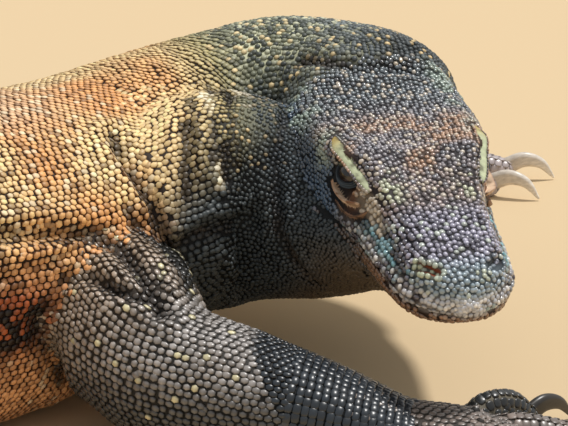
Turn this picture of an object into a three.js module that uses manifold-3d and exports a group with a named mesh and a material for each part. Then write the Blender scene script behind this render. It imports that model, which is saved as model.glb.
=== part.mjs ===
// A komodo dragon at life size, lying on its belly with the neck bent so that
// the head looks back to the animal's right.  Millimetres, +Z up, +X along the
// trunk toward the head, +Y to the animal's left, floor at z = 0.  The shape is
// set out from the shoulders, and placed with the origin under the mid trunk.
import * as THREE from 'three';
import { mergeVertices } from 'three/addons/utils/BufferGeometryUtils.js';
import Module from 'manifold-3d';

const wasm = await Module();
wasm.setup();

// ---------------------------------------------------------------- dimensions
const GAP = 0.35;
const ORIGIN_BEHIND_SHOULDERS = 300;
const HEAD_LENGTH = 205;
const SNOUT = new THREE.Vector3(129, -219, 90);
const HEAD_FORWARD = new THREE.Vector3(-0.112, -0.966, -0.235).normalize();
const SIDES_HEAD = 20;
const SIDES_TRUNK = 20;
const SIDES_TAIL = 12;
const BEND_REACH = 30;
const EYE_RADIUS = 8.5;
const EYE_AT = [0.55, 0.176, 0.126];
const ORBIT_RADIUS = 15;
const ORBIT_AT = [0.522, 0.236, 0.138];
const NOSTRIL_RADIUS = 3.2;
const NOSTRIL_AT = [0.086, 0.096, 0.11];
const CLAW_CURVE = [[0, -1], [12, 3.5], [24, 0.5], [33, -9.5]];
const CLAW_HALF_WIDTH = [4.2, 3.8, 2.8, 0.8];
const CLAW_HALF_HEIGHT = [6.2, 5.6, 3.8, 0.9];

// Head sections from the snout back, in head lengths: distance from the snout,
// then crown height; brow half width, height; cheek half width, height; lip half
// width, height; jaw half width, height; chin height.
const HEAD_SECTIONS = [
  [0.00, [0.050, 0.022, 0.045, 0.040, 0.022, 0.042, 0.000, 0.022, -0.014, -0.017]],
  [0.025, [0.090, 0.058, 0.080, 0.092, 0.030, 0.094, 0.000, 0.064, -0.029, -0.035]],
  [0.07, [0.114, 0.090, 0.106, 0.134, 0.036, 0.137, 0.000, 0.102, -0.043, -0.052]],
  [0.14, [0.132, 0.108, 0.120, 0.162, 0.040, 0.165, 0.000, 0.128, -0.058, -0.070]],
  [0.25, [0.144, 0.118, 0.132, 0.176, 0.042, 0.178, 0.000, 0.144, -0.075, -0.092]],
  [0.38, [0.158, 0.134, 0.152, 0.190, 0.042, 0.190, 0.000, 0.160, -0.094, -0.118]],
  [0.46, [0.174, 0.152, 0.172, 0.204, 0.044, 0.204, 0.000, 0.174, -0.110, -0.142]],
  [0.54, [0.188, 0.192, 0.200, 0.226, 0.050, 0.222, 0.000, 0.188, -0.130, -0.175]],
  [0.65, [0.192, 0.218, 0.190, 0.254, 0.046, 0.248, 0.000, 0.210, -0.160, -0.225]],
  [0.80, [0.194, 0.228, 0.168, 0.276, 0.040, 0.276, -0.010, 0.230, -0.190, -0.270]],
  [0.95, [0.202, 0.208, 0.168, 0.278, 0.040, 0.284, -0.030, 0.234, -0.210, -0.300]],
];

// Neck, trunk and tail sections: centre x, y, z; half width; height above and
// depth below the centre; flatness of the underside; shift toward the left side.
const BODY_SECTIONS = [
  [150.1, -6.6, 140, 62, 50, 62, 0, 9],
  [143.7, 22.3, 140, 60, 48, 62, 0, 12],
  [121.4, 44.8, 137, 60, 50, 62, 0, 12],
  [88.5, 54.4, 129, 65, 50, 64, 0, 8],
  [40, 43, 119, 76, 58, 74, 0, 0],
  [-5, 25, 107, 90, 67, 92, 0.2, 0],
  [-60, 7, 97, 106, 77, 97, 0.4, 0],
  [-150, 0, 92, 124, 92, 94, 0.7, 0],
  [-300, 0, 93, 146, 100, 96, 0.9, 0],
  [-460, 0, 90, 146, 100, 93, 0.9, 0],
  [-600, 0, 84, 118, 94, 87, 0.7, 0],
  [-700, 0, 76, 90, 86, 79, 0.4, 0],
  [-800, 0, 67, 68, 74, 69, 0.2, 0],
  [-950, 12, 58, 51, 62, 60, 0, 0],
  [-1200, 40, 46, 36, 50, 48, 0, 0],
  [-1500, 60, 35, 25, 38, 37, 0, 0],
  [-1800, 35, 23, 15.5, 25, 25, 0, 0],
  [-2050, -20, 12, 7.5, 13, 14, 0, 0],
  [-2150, -45, 7, 3, 7, 9, 0, 0],
];

// The lengths the head, neck, trunk and tail are made in: node, where it starts
// and ends along the spine from the snout, rings and sides.
const SPINE_LENGTHS = [
  ['head', 0, 200, 15, SIDES_HEAD],
  ['neck_front', 200, 300, 7, SIDES_TRUNK],
  ['neck_rear', 300, 410, 6, SIDES_TRUNK],
  ['trunk_front', 410, 610, 5, SIDES_TRUNK],
  ['trunk_middle', 610, 850, 5, SIDES_TRUNK],
  ['trunk_rear', 850, 1100, 6, SIDES_TRUNK],
  ['tail_base', 1100, 1340, 6, SIDES_TAIL],
  ['tail_front', 1340, 1660, 5, SIDES_TAIL],
  ['tail_rear', 1660, 2060, 6, SIDES_TAIL],
  ['tail_tip', 2060, 2570, 7, SIDES_TAIL],
];

// The mouth line and the line behind the corner of the mouth, in head lengths:
// distance back from the snout and height.
const MOUTH_LINE = [[-0.2, 0.0], [0.25, 0.0], [0.55, -0.012], [0.72, -0.002], [0.78, -0.05], [0.80, -0.6]];
const MOUTH_DEPTH = -0.6;

// Bent limb lengths: centre line, half widths, half heights, rings, sides.
const LIMBS = {
  upper_arm_right: [
    [[-35, -40, 78], [-30, -88, 68], [-18, -128, 47]],
    [52, 48, 41], [44, 46, 43], 5, 10],
  forearm_right: [
    [[-15, -132, 45], [22, -161, 37], [58, -184, 30], [89, -203, 22]],
    [41, 39, 33, 28], [41, 36, 28, 20], 7, 10],
  upper_arm_left: [
    [[-20, 55, 90], [45, 135, 85], [100, 191, 68]],
    [50, 48, 42], [50, 46, 42], 5, 10],
  forearm_left: [
    [[104, 194, 66], [175, 235, 44], [252, 269, 21]],
    [41, 36, 28], [41, 33, 19], 6, 10],
  thigh_right: [
    [[-600, -60, 80], [-562, -150, 78], [-505, -232, 64]],
    [72, 62, 50], [66, 60, 50], 6, 10],
  shank_right: [
    [[-515, -240, 62], [-590, -272, 46], [-675, -302, 24]],
    [46, 43, 28], [47, 41, 22], 6, 10],
  thigh_left: [
    [[-600, 60, 80], [-580, 150, 78], [-538, 238, 64]],
    [72, 62, 50], [66, 60, 50], 6, 10],
  shank_left: [
    [[-547, 246, 62], [-615, 284, 46], [-698, 326, 24]],
    [46, 43, 28], [47, 41, 22], 6, 10],
};
const LIMB_CHAINS = [
  ['upper_arm_right', 'forearm_right', 'hand_right'],
  ['upper_arm_left', 'forearm_left', 'hand_left'],
  ['thigh_right', 'shank_right', 'foot_right'],
  ['thigh_left', 'shank_left', 'foot_left'],
];

// Feet: wrist or ankle, heading in degrees from +X, +1 for a left foot, -1 for a
// right one, size, then the spread angle and length of digits one to five.
const FEET = {
  hand_right: [[87, -202, 21], -26, -1, 1.0,
    [[-40, 44], [-16, 62], [2, 72], [18, 68], [46, 52]]],
  hand_left: [[252, 269, 21], -32, 1, 1.0,
    [[-70, 42], [-48, 54], [-7, 68], [12, 75], [64, 48]]],
  foot_right: [[-679, -303, 22], -44, -1, 1.15,
    [[-30, 46], [-14, 66], [2, 82], [18, 86], [56, 66]]],
  foot_left: [[-702, 328, 22], 34, 1, 1.15,
    [[-30, 46], [-14, 66], [2, 82], [18, 86], [56, 66]]],
};
const PALM_ALONG = [-22, 20, 48, 68];
const PALM_HALF_WIDTH = [23, 31, 35, 21];
const PALM_HALF_HEIGHT = [19, 16.5, 14, 11];
const PALM_DROP = [0, -4, -7, -9];
const TOE_HALF_WIDTH = [11, 10, 9, 7];
const TOE_HALF_HEIGHT = [11, 10.5, 10, 8];

// The throat and the loose skin bunched inside the bend of the neck.
const THROAT = [
  [[0, -18, 98], [42, -14, 102], [80, -26, 101], [107, -66, 95], [121, -118, 95]],
  [66, 62, 52, 38, 26], [62, 66, 63, 45, 23], 5, 11];

const HIDE = { color: '#8a6b47', roughness: 0.7, metalness: 0 };
const HEAD_HIDE = { color: '#45434a', roughness: 0.5, metalness: 0 };
const HORN = { color: '#8d877b', roughness: 0.45, metalness: 0 };
const EYE = { color: '#1d1512', roughness: 0.1, metalness: 0 };

// ------------------------------------------------------------------- helpers
/** Reads a smooth curve through rows of numbers at knots, clamped at its ends. */
function curve(t, knots, rows) {
  const last = knots.length - 1;
  let i = 0;
  while (i < last - 1 && t > knots[i + 1]) {
    i += 1;
  }
  const span = knots[i + 1] - knots[i];
  const u = Math.min(Math.max((t - knots[i]) / span, 0), 1);
  const slope = (k, j) => {
    const a = Math.max(k - 1, 0);
    const b = Math.min(k + 1, last);
    return (rows[b][j] - rows[a][j]) / (knots[b] - knots[a]);
  };
  return rows[i].map((value, j) => (2 * u ** 3 - 3 * u ** 2 + 1) * value
    + (u ** 3 - 2 * u ** 2 + u) * span * slope(i, j)
    + (3 * u ** 2 - 2 * u ** 3) * rows[i + 1][j]
    + (u ** 3 - u ** 2) * span * slope(i + 1, j));
}

/** Half-profile numbers of an oval with its own top, bottom and flat underside. */
function oval(width, up, down, flat) {
  return [up, 0.588 * width, 0.809 * up, 0.951 * width, 0.309 * up, 0.951 * width, -0.309 * down,
    (0.588 + 0.2 * flat) * width, -(0.809 + 0.15 * flat) * down, -down];
}

/** Runs a smooth closed line through the ten points of a half profile and its mirror. */
function profileOutline(profile, sides) {
  const [top, wb, zb, wc, zc, wl, zl, wj, zj, chin] = profile;
  const points = [[0, top], [wb, zb], [wc, zc], [wl, zl], [wj, zj],
    [0, chin], [-wj, zj], [-wl, zl], [-wc, zc], [-wb, zb]];
  return Array.from({ length: sides }, (_, k) => {
    const u = (k * 10) / sides;
    const i = Math.floor(u) % 10;
    const f = u - Math.floor(u);
    return [0, 1].map((axis) => {
      const [a, b, c, d] = [9, 0, 1, 2].map((step) => points[(i + step) % 10][axis]);
      return (2 * f ** 3 - 3 * f ** 2 + 1) * b + (f ** 3 - 2 * f ** 2 + f) * (c - a) * 0.5
        + (3 * f ** 2 - 2 * f ** 3) * c + (f ** 3 - f ** 2) * (d - b) * 0.5;
    });
  });
}

/** Moves a closed outline outward by a distance, along the normal at each point. */
function growOutline(outline, distance) {
  const count = outline.length;
  return outline.map(([x, y], k) => {
    const before = outline[(k + count - 1) % count];
    const after = outline[(k + 1) % count];
    const along = [after[0] - before[0], after[1] - before[1]];
    const size = Math.hypot(along[0], along[1]);
    return [x - (along[1] / size) * distance, y + (along[0] / size) * distance];
  });
}

/** A closed surface through rings of points, with a fan over each end. */
function loft(rings) {
  const sides = rings[0].length;
  const positions = [];
  rings.forEach((ring) => ring.forEach((point) => positions.push(point.x, point.y, point.z)));
  const ends = [rings[0], rings[rings.length - 1]];
  ends.forEach((ring) => {
    const centre = ring.reduce((sum, point) => sum.add(point), new THREE.Vector3());
    centre.divideScalar(sides);
    positions.push(centre.x, centre.y, centre.z);
  });
  const first = rings.length * sides;
  const last = (rings.length - 1) * sides;
  const index = [];
  for (let j = 0; j < sides; j += 1) {
    const next = (j + 1) % sides;
    for (let i = 0; i < rings.length - 1; i += 1) {
      const a = i * sides;
      const b = a + sides;
      index.push(a + j, b + j, b + next, a + j, b + next, a + next);
    }
    index.push(first, j, next);
    index.push(first + 1, last + next, last + j);
  }
  const geometry = new THREE.BufferGeometry();
  geometry.setAttribute('position', new THREE.Float32BufferAttribute(positions, 3));
  geometry.setIndex(index);
  return geometry;
}

/** A three.js geometry as a solid that can be joined and cut; inside-out input is turned. */
function solid(geometry) {
  const bare = geometry.clone();
  bare.deleteAttribute('normal');
  bare.deleteAttribute('uv');
  const merged = mergeVertices(bare, 1e-4);
  const vertProperties = Float32Array.from(merged.getAttribute('position').array);
  const triVerts = Uint32Array.from(merged.getIndex().array);
  const made = new wasm.Manifold(new wasm.Mesh({ numProp: 3, vertProperties, triVerts }));
  if (made.volume() > 0) {
    return made;
  }
  for (let k = 0; k < triVerts.length; k += 3) {
    [triVerts[k], triVerts[k + 1]] = [triVerts[k + 1], triVerts[k]];
  }
  return new wasm.Manifold(new wasm.Mesh({ numProp: 3, vertProperties, triVerts }));
}

/** A solid back as a three.js geometry. */
function geometryOf(body) {
  const mesh = body.getMesh();
  const geometry = new THREE.BufferGeometry();
  geometry.setAttribute('position', new THREE.Float32BufferAttribute(mesh.vertProperties, 3));
  geometry.setIndex(Array.from(mesh.triVerts));
  geometry.computeVertexNormals();
  return geometry;
}

/** Joins solids into one. */
function join(bodies) {
  return bodies.reduce((sum, body) => sum.add(body));
}

/** The largest connected piece of a solid, without the crumbs a cut leaves beside it. */
function largestPiece(body) {
  return body.decompose().reduce((best, piece) => (piece.volume() > best.volume() ? piece : best));
}

/** The ring of a section: its outline set across a forward direction at a centre. */
function sectionRing(centre, forward, outline) {
  const up = new THREE.Vector3(0, 0, 1).addScaledVector(forward, -forward.z).normalize();
  const right = forward.clone().cross(up);
  return outline.map(([x, y]) => centre.clone().addScaledVector(right, x).addScaledVector(up, y));
}

// --------------------------------------------------------------------- spine
const headPoint = (back, right, up) => {
  const above = new THREE.Vector3(0, 0, 1).addScaledVector(HEAD_FORWARD, -HEAD_FORWARD.z).normalize();
  const side = HEAD_FORWARD.clone().cross(above);
  return SNOUT.clone().addScaledVector(HEAD_FORWARD, -back * HEAD_LENGTH)
    .addScaledVector(side, right * HEAD_LENGTH).addScaledVector(above, up * HEAD_LENGTH);
};
const spineRows = [
  ...HEAD_SECTIONS.map(([back, profile]) => [...headPoint(back, 0, 0).toArray(),
    ...profile.map((value) => value * HEAD_LENGTH), 0]),
  ...BODY_SECTIONS.map(([x, y, z, width, up, down, flat, shift]) => (
    [x, y, z, ...oval(width, up, down, flat), shift])),
];
const spineKnots = [0];
for (let k = 1; k < spineRows.length; k += 1) {
  const step = Math.hypot(...[0, 1, 2].map((j) => spineRows[k][j] - spineRows[k - 1][j]));
  spineKnots.push(spineKnots[k - 1] + step);
}

/** The ring of the animal's main outline at a distance from the snout. */
function spineRing(at, sides, grow) {
  const row = curve(at, spineKnots, spineRows);
  const ahead = curve(Math.max(at - BEND_REACH, 0), spineKnots, spineRows);
  const end = spineKnots[spineKnots.length - 1];
  const behind = curve(Math.min(at + BEND_REACH, end), spineKnots, spineRows);
  const forward = new THREE.Vector3(ahead[0] - behind[0], ahead[1] - behind[1], ahead[2] - behind[2]);
  const centred = profileOutline(row.slice(3, 13), sides).map(([x, y]) => [x - row[13], y]);
  const outline = growOutline(centred, grow);
  return sectionRing(new THREE.Vector3(row[0], row[1], row[2]), forward.normalize(), outline);
}

/** One length of the spine loft; a grown one also reaches a little past both its ends. */
function spineLength([, from, to, count, sides], grow) {
  const easing = from === 0 ? 1.5 : 1;
  const start = from === 0 ? 0 : from + GAP;
  const rings = Array.from({ length: count }, (_, k) => {
    const at = start + (to - start) * (k / (count - 1)) ** easing;
    return spineRing(at, sides, grow);
  });
  if (grow > 0) {
    const inset = rings[0].map((point, k) => point.clone().sub(rings[1][k]).setLength(2).add(point));
    const last = rings[count - 1];
    const beyond = last.map((point, k) => point.clone().sub(rings[count - 2][k]).setLength(2).add(point));
    rings.unshift(inset);
    rings.push(beyond);
  }
  return solid(loft(rings));
}

// --------------------------------------------------------------------- limbs
/** A tapering bent length with a rounded far end: centre line, half widths, half heights. */
function tube(path, widths, heights, count, sides, grow) {
  const knots = [0];
  for (let k = 1; k < path.length; k += 1) {
    const step = Math.hypot(...[0, 1, 2].map((j) => path[k][j] - path[k - 1][j]));
    knots.push(knots[k - 1] + step);
  }
  const length = knots[knots.length - 1];
  const rows = path.map((point, k) => [...point, widths[k], heights[k]]);
  const ringAt = (at, beyond, shrink) => {
    const row = curve(at, knots, rows);
    const a = curve(Math.max(at - 0.5, 0), knots, rows);
    const b = curve(Math.min(at + 0.5, length), knots, rows);
    const forward = new THREE.Vector3(b[0] - a[0], b[1] - a[1], b[2] - a[2]).normalize();
    const centre = new THREE.Vector3(row[0], row[1], row[2]).addScaledVector(forward, beyond);
    const outline = Array.from({ length: sides }, (_, k) => {
      const angle = (k * 2 * Math.PI) / sides;
      return [(row[3] + grow) * shrink * Math.sin(angle), (row[4] + grow) * shrink * Math.cos(angle)];
    });
    return sectionRing(centre, forward, outline);
  };
  const endRadius = Math.min(widths[widths.length - 1], heights[heights.length - 1]) * 0.8 + grow;
  const rings = [ringAt(0, -grow, 1)];
  for (let k = grow > 0 ? 0 : 1; k < count; k += 1) {
    rings.push(ringAt((length * k) / (count - 1), 0, 1));
  }
  rings.push(ringAt(length, endRadius * 0.85, 0.5));
  return solid(loft(rings));
}

/** The direction and the root of each digit of a foot. */
function digits([centre, heading, side, size, toes]) {
  const turn = THREE.MathUtils.degToRad(heading);
  const forward = new THREE.Vector3(Math.cos(turn), Math.sin(turn), 0);
  const left = new THREE.Vector3(-forward.y, forward.x, 0);
  return toes.map(([spread, length], k) => {
    const angle = THREE.MathUtils.degToRad(spread) * side;
    const along = forward.clone().multiplyScalar(Math.cos(angle)).addScaledVector(left, Math.sin(angle));
    const root = new THREE.Vector3(centre[0], centre[1], 0)
      .addScaledVector(forward, 45 * size)
      .addScaledVector(left, side * (-26 + 12.5 * k) * size);
    return { along, root, length: length * size };
  });
}

/** A palm or sole with its five toes as one solid. */
function footSolid(foot, grow) {
  const [centre, heading, , size] = foot;
  const turn = THREE.MathUtils.degToRad(heading);
  const palmPath = PALM_ALONG.map((along, k) => [
    centre[0] + Math.cos(turn) * along * size,
    centre[1] + Math.sin(turn) * along * size,
    centre[2] + PALM_DROP[k] * size]);
  const palm = tube(palmPath, PALM_HALF_WIDTH.map((w) => w * size),
    PALM_HALF_HEIGHT.map((h) => h * size), 3, 8, grow);
  const toes = digits(foot).map(({ along, root, length }) => {
    const path = [[0, 11], [0.4, 15], [0.75, 11.5], [1, 8]].map(([part, height]) => [
      root.x + along.x * length * part,
      root.y + along.y * length * part,
      height * size]);
    return tube(path, TOE_HALF_WIDTH.map((w) => w * size), TOE_HALF_HEIGHT.map((h) => h * size),
      3, 5, grow);
  });
  return join([palm, ...toes]);
}

/** A curved claw at the end of a digit. */
function clawSolid({ along, root, length }, size) {
  const path = CLAW_CURVE.map(([out, height]) => [
    root.x + along.x * (length + (out + 1) * size),
    root.y + along.y * (length + (out + 1) * size),
    (height + 11.5) * size]);
  return tube(path, CLAW_HALF_WIDTH.map((w) => w * size), CLAW_HALF_HEIGHT.map((h) => h * size),
    3, 5, 0);
}

// ------------------------------------------------------------------- cutters
const floorBox = new THREE.BoxGeometry(4000, 2000, 400);
floorBox.translate(-900, 0, -200);
const belowFloor = solid(floorBox);

/** A prism under the mouth line, across the head, moved down by a gap. */
function jawPrism(drop) {
  const outline = new THREE.Shape();
  const lowered = drop / HEAD_LENGTH;
  outline.moveTo(MOUTH_LINE[0][0], MOUTH_LINE[0][1] - lowered);
  MOUTH_LINE.slice(1).forEach(([back, height]) => outline.lineTo(back - lowered, height - lowered));
  outline.lineTo(MOUTH_LINE[0][0], MOUTH_DEPTH - lowered);
  const geometry = new THREE.ExtrudeGeometry(outline, { depth: 1, bevelEnabled: false });
  geometry.translate(0, 0, -0.5);
  const position = geometry.getAttribute('position');
  for (let k = 0; k < position.count; k += 1) {
    const placed = headPoint(position.getX(k), position.getZ(k), position.getY(k));
    position.setXYZ(k, placed.x, placed.y, placed.z);
  }
  return solid(geometry);
}

/** A ball at a place of the head given in head lengths. */
function headBall([back, right, up], radius, side, sides) {
  const ball = new THREE.SphereGeometry(radius, sides, sides - 3);
  const at = headPoint(back, right * side, up);
  ball.translate(at.x, at.y, at.z);
  return solid(ball);
}

// ------------------------------------------------------------------ assembly
const spineGrown = join(SPINE_LENGTHS.slice(0, 6).map((length) => spineLength(length, GAP)));
const bodies = {};
SPINE_LENGTHS.forEach((length) => {
  bodies[length[0]] = spineLength(length, 0);
});
bodies.lower_jaw = bodies.head.intersect(jawPrism(GAP));
bodies.head = bodies.head.subtract(jawPrism(0));
[['eye_right', 1], ['eye_left', -1]].forEach(([name, side]) => {
  bodies[name] = headBall(EYE_AT, EYE_RADIUS, side, 10);
  bodies.head = bodies.head.subtract(headBall(EYE_AT, EYE_RADIUS + GAP, side, 10));
  bodies.head = bodies.head.subtract(headBall(ORBIT_AT, ORBIT_RADIUS, side, 10));
  bodies.head = bodies.head.subtract(headBall(NOSTRIL_AT, NOSTRIL_RADIUS, side, 6));
});
const throatGrown = tube(...THROAT, GAP);
bodies.throat = tube(...THROAT, 0).subtract(spineGrown);
LIMB_CHAINS.forEach(([upper, lower, end]) => {
  const upperGrown = tube(...LIMBS[upper], GAP);
  const lowerGrown = tube(...LIMBS[lower], GAP);
  bodies[upper] = tube(...LIMBS[upper], 0).subtract(spineGrown).subtract(throatGrown);
  bodies[lower] = tube(...LIMBS[lower], 0).subtract(upperGrown).subtract(spineGrown)
    .subtract(throatGrown);
  bodies[end] = footSolid(FEET[end], 0).subtract(lowerGrown);
  const footGrown = footSolid(FEET[end], GAP);
  digits(FEET[end]).forEach((digit, k) => {
    bodies[`claw_${end}_${k + 1}`] = clawSolid(digit, FEET[end][3]).subtract(footGrown);
  });
});

/** Picks the finish of a node by its name. */
function finishOf(name) {
  if (name.startsWith('eye')) {
    return EYE;
  }
  if (name.startsWith('claw')) {
    return HORN;
  }
  return name === 'head' || name === 'lower_jaw' ? HEAD_HIDE : HIDE;
}

const komodoDragon = new THREE.Group();
komodoDragon.name = 'komodo_dragon';
Object.entries(bodies).forEach(([name, body]) => {
  const mesh = new THREE.Mesh(
    geometryOf(largestPiece(body.subtract(belowFloor))),
    new THREE.MeshStandardMaterial(finishOf(name)),
  );
  mesh.name = name;
  mesh.position.x = ORIGIN_BEHIND_SHOULDERS;
  komodoDragon.add(mesh);
});

export default komodoDragon;
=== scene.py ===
"""A komodo dragon at life size: one hide with its scales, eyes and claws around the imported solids.

The hide is a set of lofted tubes joined into one closed skin and eased where they meet.  Scales
are small closed domes set in rows on the same tubes and settled on the joined skin.  Lengths are
named in millimetres and turned to metres when a mesh is made.
"""

import logging
from collections.abc import Callable
from dataclasses import dataclass, field
from enum import Enum
from itertools import product

import bpy
import numpy as np
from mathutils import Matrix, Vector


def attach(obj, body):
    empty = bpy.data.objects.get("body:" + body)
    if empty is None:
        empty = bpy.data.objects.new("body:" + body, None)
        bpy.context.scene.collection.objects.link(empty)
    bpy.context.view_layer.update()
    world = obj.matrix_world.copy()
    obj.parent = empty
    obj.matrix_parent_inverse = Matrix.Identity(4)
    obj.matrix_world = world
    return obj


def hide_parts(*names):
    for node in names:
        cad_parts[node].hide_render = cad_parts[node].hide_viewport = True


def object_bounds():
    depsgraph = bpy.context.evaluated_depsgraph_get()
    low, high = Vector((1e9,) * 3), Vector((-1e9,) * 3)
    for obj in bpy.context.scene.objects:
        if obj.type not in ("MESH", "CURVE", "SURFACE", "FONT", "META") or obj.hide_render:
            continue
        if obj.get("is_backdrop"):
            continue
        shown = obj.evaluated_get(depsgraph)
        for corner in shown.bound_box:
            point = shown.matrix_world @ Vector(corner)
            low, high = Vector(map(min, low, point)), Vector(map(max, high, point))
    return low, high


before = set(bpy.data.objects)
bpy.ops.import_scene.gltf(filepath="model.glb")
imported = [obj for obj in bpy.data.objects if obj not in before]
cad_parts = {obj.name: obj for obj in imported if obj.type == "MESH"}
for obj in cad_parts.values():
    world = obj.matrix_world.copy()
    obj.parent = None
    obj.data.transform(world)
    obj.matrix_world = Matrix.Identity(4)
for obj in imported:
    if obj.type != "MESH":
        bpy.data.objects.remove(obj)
CAD_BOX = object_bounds()

LOG = logging.getLogger("komodo")
Array = np.ndarray
Object, Mesh = bpy.types.Object, bpy.types.Mesh
MM = 0.001
BODY = "root"
ORIGIN_SHIFT = np.array([300.0, 0.0, 0.0])
UP = np.array([0.0, 0.0, 1.0])
COAT_DEPTH = 1.3
# The least heights over the floor of skin, scales and claws.
SKIN_FLOOR, SCALE_FLOOR, CLAW_FLOOR = 0.4, 0.25, 0.3
SKIN_NODES = (
    "head", "lower_jaw", "throat", "neck_front", "neck_rear", "trunk_front", "trunk_middle",
    "trunk_rear", "tail_base", "tail_front", "tail_rear", "tail_tip", "upper_arm_right",
    "forearm_right", "hand_right", "upper_arm_left", "forearm_left", "hand_left", "thigh_right",
    "shank_right", "foot_right", "thigh_left", "shank_left", "foot_left",
)


# ---- numbers and fields
def unit(vectors: Array) -> Array:
    """Scales vectors to length one.

    Args:
        vectors: Any array whose last axis holds the components.

    Returns:
        The same directions with length one.
    """
    size = np.linalg.norm(vectors, axis=-1, keepdims=True)
    return vectors / np.maximum(size, 1e-9)


def run_along(line: Array) -> Array:
    """The distance along a line of places, from nought at its first."""
    return np.r_[0, np.cumsum(size_of(np.diff(line, axis=0)))]


def size_of(vectors: Array) -> Array:
    """The lengths of vectors along the last axis."""
    return np.linalg.norm(vectors, axis=-1)


def smooth_rows(at: Array, knots: Array, rows: Array) -> Array:
    """Reads a smooth curve through rows of numbers.

    Cubic Hermite pieces; the slope at a knot is that of the chord between its neighbours.

    Args:
        at: Places to read, clamped to the first and last knot.
        knots: Rising knot places.
        rows: One row of values per knot.

    Returns:
        One row per place.
    """
    ends = np.arange(len(knots))
    before = np.maximum(ends - 1, 0)
    after = np.minimum(ends + 1, len(knots) - 1)
    slope = (rows[after] - rows[before]) / (knots[after] - knots[before])[:, None]
    i = np.clip(np.searchsorted(knots, at, "right") - 1, 0, len(knots) - 2)
    span = (knots[i + 1] - knots[i])[:, None]
    u = np.clip((at - knots[i])[:, None] / span, 0, 1)
    return ((2 * u**3 - 3 * u**2 + 1) * rows[i] + (u**3 - 2 * u**2 + u) * span * slope[i]
            + (3 * u**2 - 2 * u**3) * rows[i + 1] + (u**3 - u**2) * span * slope[i + 1])


def ease(value: Array, low: float, high: float) -> Array:
    """A smooth step from 0 at low to 1 at high: three t squared less two t cubed."""
    t = np.clip((value - low) / (high - low), 0, 1)
    return t * t * (3 - 2 * t)


def fall(value: Array, low: float, high: float) -> Array:
    """A smooth step from 1 at low to 0 at high."""
    return 1 - ease(value, low, high)


def bell(value: Array, width: float) -> Array:
    """A bump of height one and the given half width: e to the minus (value over width) squared."""
    return np.exp(-(value / width) ** 2)


# Large odd numbers that scatter neighbouring cells and seeds, and the largest value kept.
HASH_PRIMES = np.array([73856093, 19349663, 83492791], np.uint64)
SEED_PRIME, SEED_SHIFT, MIX_PRIME, HASH_TOP = 2654435761, 12345, np.uint64(1274126177), 0xFFFFFF


def lattice_hash(cells: Array, seed: int) -> Array:
    """A repeatable random number from 0 to 1 for each whole-number cell.

    Args:
        cells: Whole-number places.
        seed: Picks the field.

    Returns:
        One number per cell.
    """
    x, y, z = (cells[..., k].astype(np.uint64) * HASH_PRIMES[k] for k in range(3))
    mixed = x ^ y ^ z ^ np.uint64(seed * SEED_PRIME + SEED_SHIFT)
    mixed ^= mixed >> np.uint64(13)
    mixed *= MIX_PRIME
    mixed ^= mixed >> np.uint64(16)
    return (mixed & np.uint64(HASH_TOP)).astype(float) / HASH_TOP


def cloud(points: Array, size: float, seed: int) -> Array:
    """A smooth random field in space.

    Random values at the corners of cubes of the given size, blended by eased weights.

    Args:
        points: Places in millimetres.
        size: Cube side in millimetres.
        seed: Picks the field.

    Returns:
        Values from 0 to 1.
    """
    q = points / size + 500.0 + seed * 7.31
    base = np.floor(q).astype(np.int64)
    part = q - base
    part = part * part * (3 - 2 * part)
    total = np.zeros(points.shape[:-1])
    for corner in product((0, 1), repeat=3):
        step = np.array(corner)
        weight = np.where(step == 1, part, 1 - part).prod(axis=-1)
        total += weight * lattice_hash(base + step, seed)
    return total


def patches(points: Array, size: float, seed: int, share: float, soft: float = 0.08) -> Array:
    """Blotches of a size covering a share of the surface, from 0 outside to 1 inside."""
    value = 0.65 * cloud(points, size, seed) + 0.35 * cloud(points, size * 0.45, seed + 50)
    edge = 0.5 + (0.5 - share) * 0.62
    return ease(value, edge - soft, edge + soft)


def linear(code: str) -> Array:
    """An sRGB hex colour as linear red, green and blue."""
    value = np.array([int(code[k:k + 2], 16) for k in (1, 3, 5)]) / 255.0
    return np.where(value <= 0.04045, value / 12.92, ((value + 0.055) / 1.055) ** 2.4)


def blend(first: Array, second: Array, share: Array) -> Array:
    """Mixes colours: the first where share is 0 and the second where it is 1."""
    weight = np.clip(share, 0, 1)[..., None]
    return first * (1 - weight) + second * weight


# ---- head
@dataclass(frozen=True)
class HeadPlan:
    """Where the head lies, and its own axes; places on it are in head lengths."""

    length: float = 205.0
    snout: tuple = (129.0, -219.0, 90.0)
    forward: tuple = (-0.112, -0.966, -0.235)

    def axes(self) -> tuple:
        """The unit vectors forward, to the animal's right, and up out of the crown."""
        ahead = unit(np.array(self.forward))
        above = unit(UP - ahead * ahead[2])
        return ahead, np.cross(ahead, above), above

    def point(self, back: float, right: float, high: float) -> Array:
        """A place given in head lengths back from the snout, right and up, in millimetres."""
        ahead, side, above = self.axes()
        start = np.array(self.snout) + ORIGIN_SHIFT
        return start + self.length * (-back * ahead + right * side + high * above)

    def local(self, points: Array) -> Array:
        """Turns places in millimetres into back, right and up in head lengths."""
        ahead, side, above = self.axes()
        away = (points - np.array(self.snout) - ORIGIN_SHIFT) / self.length
        return np.stack([-away @ ahead, away @ side, away @ above], axis=-1)

    def folded(self, points: Array) -> Array:
        """The same, with the left side laid on the right."""
        here = self.local(points)
        here[..., 1] = np.abs(here[..., 1])
        return here


HEAD = HeadPlan()
EYE_RADIUS = 8.5
EYE_CLEAR = 3.0
EYE_AT = (0.55, 0.176, 0.126)
ORBIT_AT = (0.522, 0.236, 0.138)
ORBIT_RADIUS = 14.0
NOSTRIL_AT = (0.086, 0.102, 0.099)
NOSTRIL_SLIT = ((0.108, 0.118, 0.098), (0.087, 0.098, 0.104), (0.068, 0.078, 0.101))
EAR_AT = (0.90, 0.272, 0.055)


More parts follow.
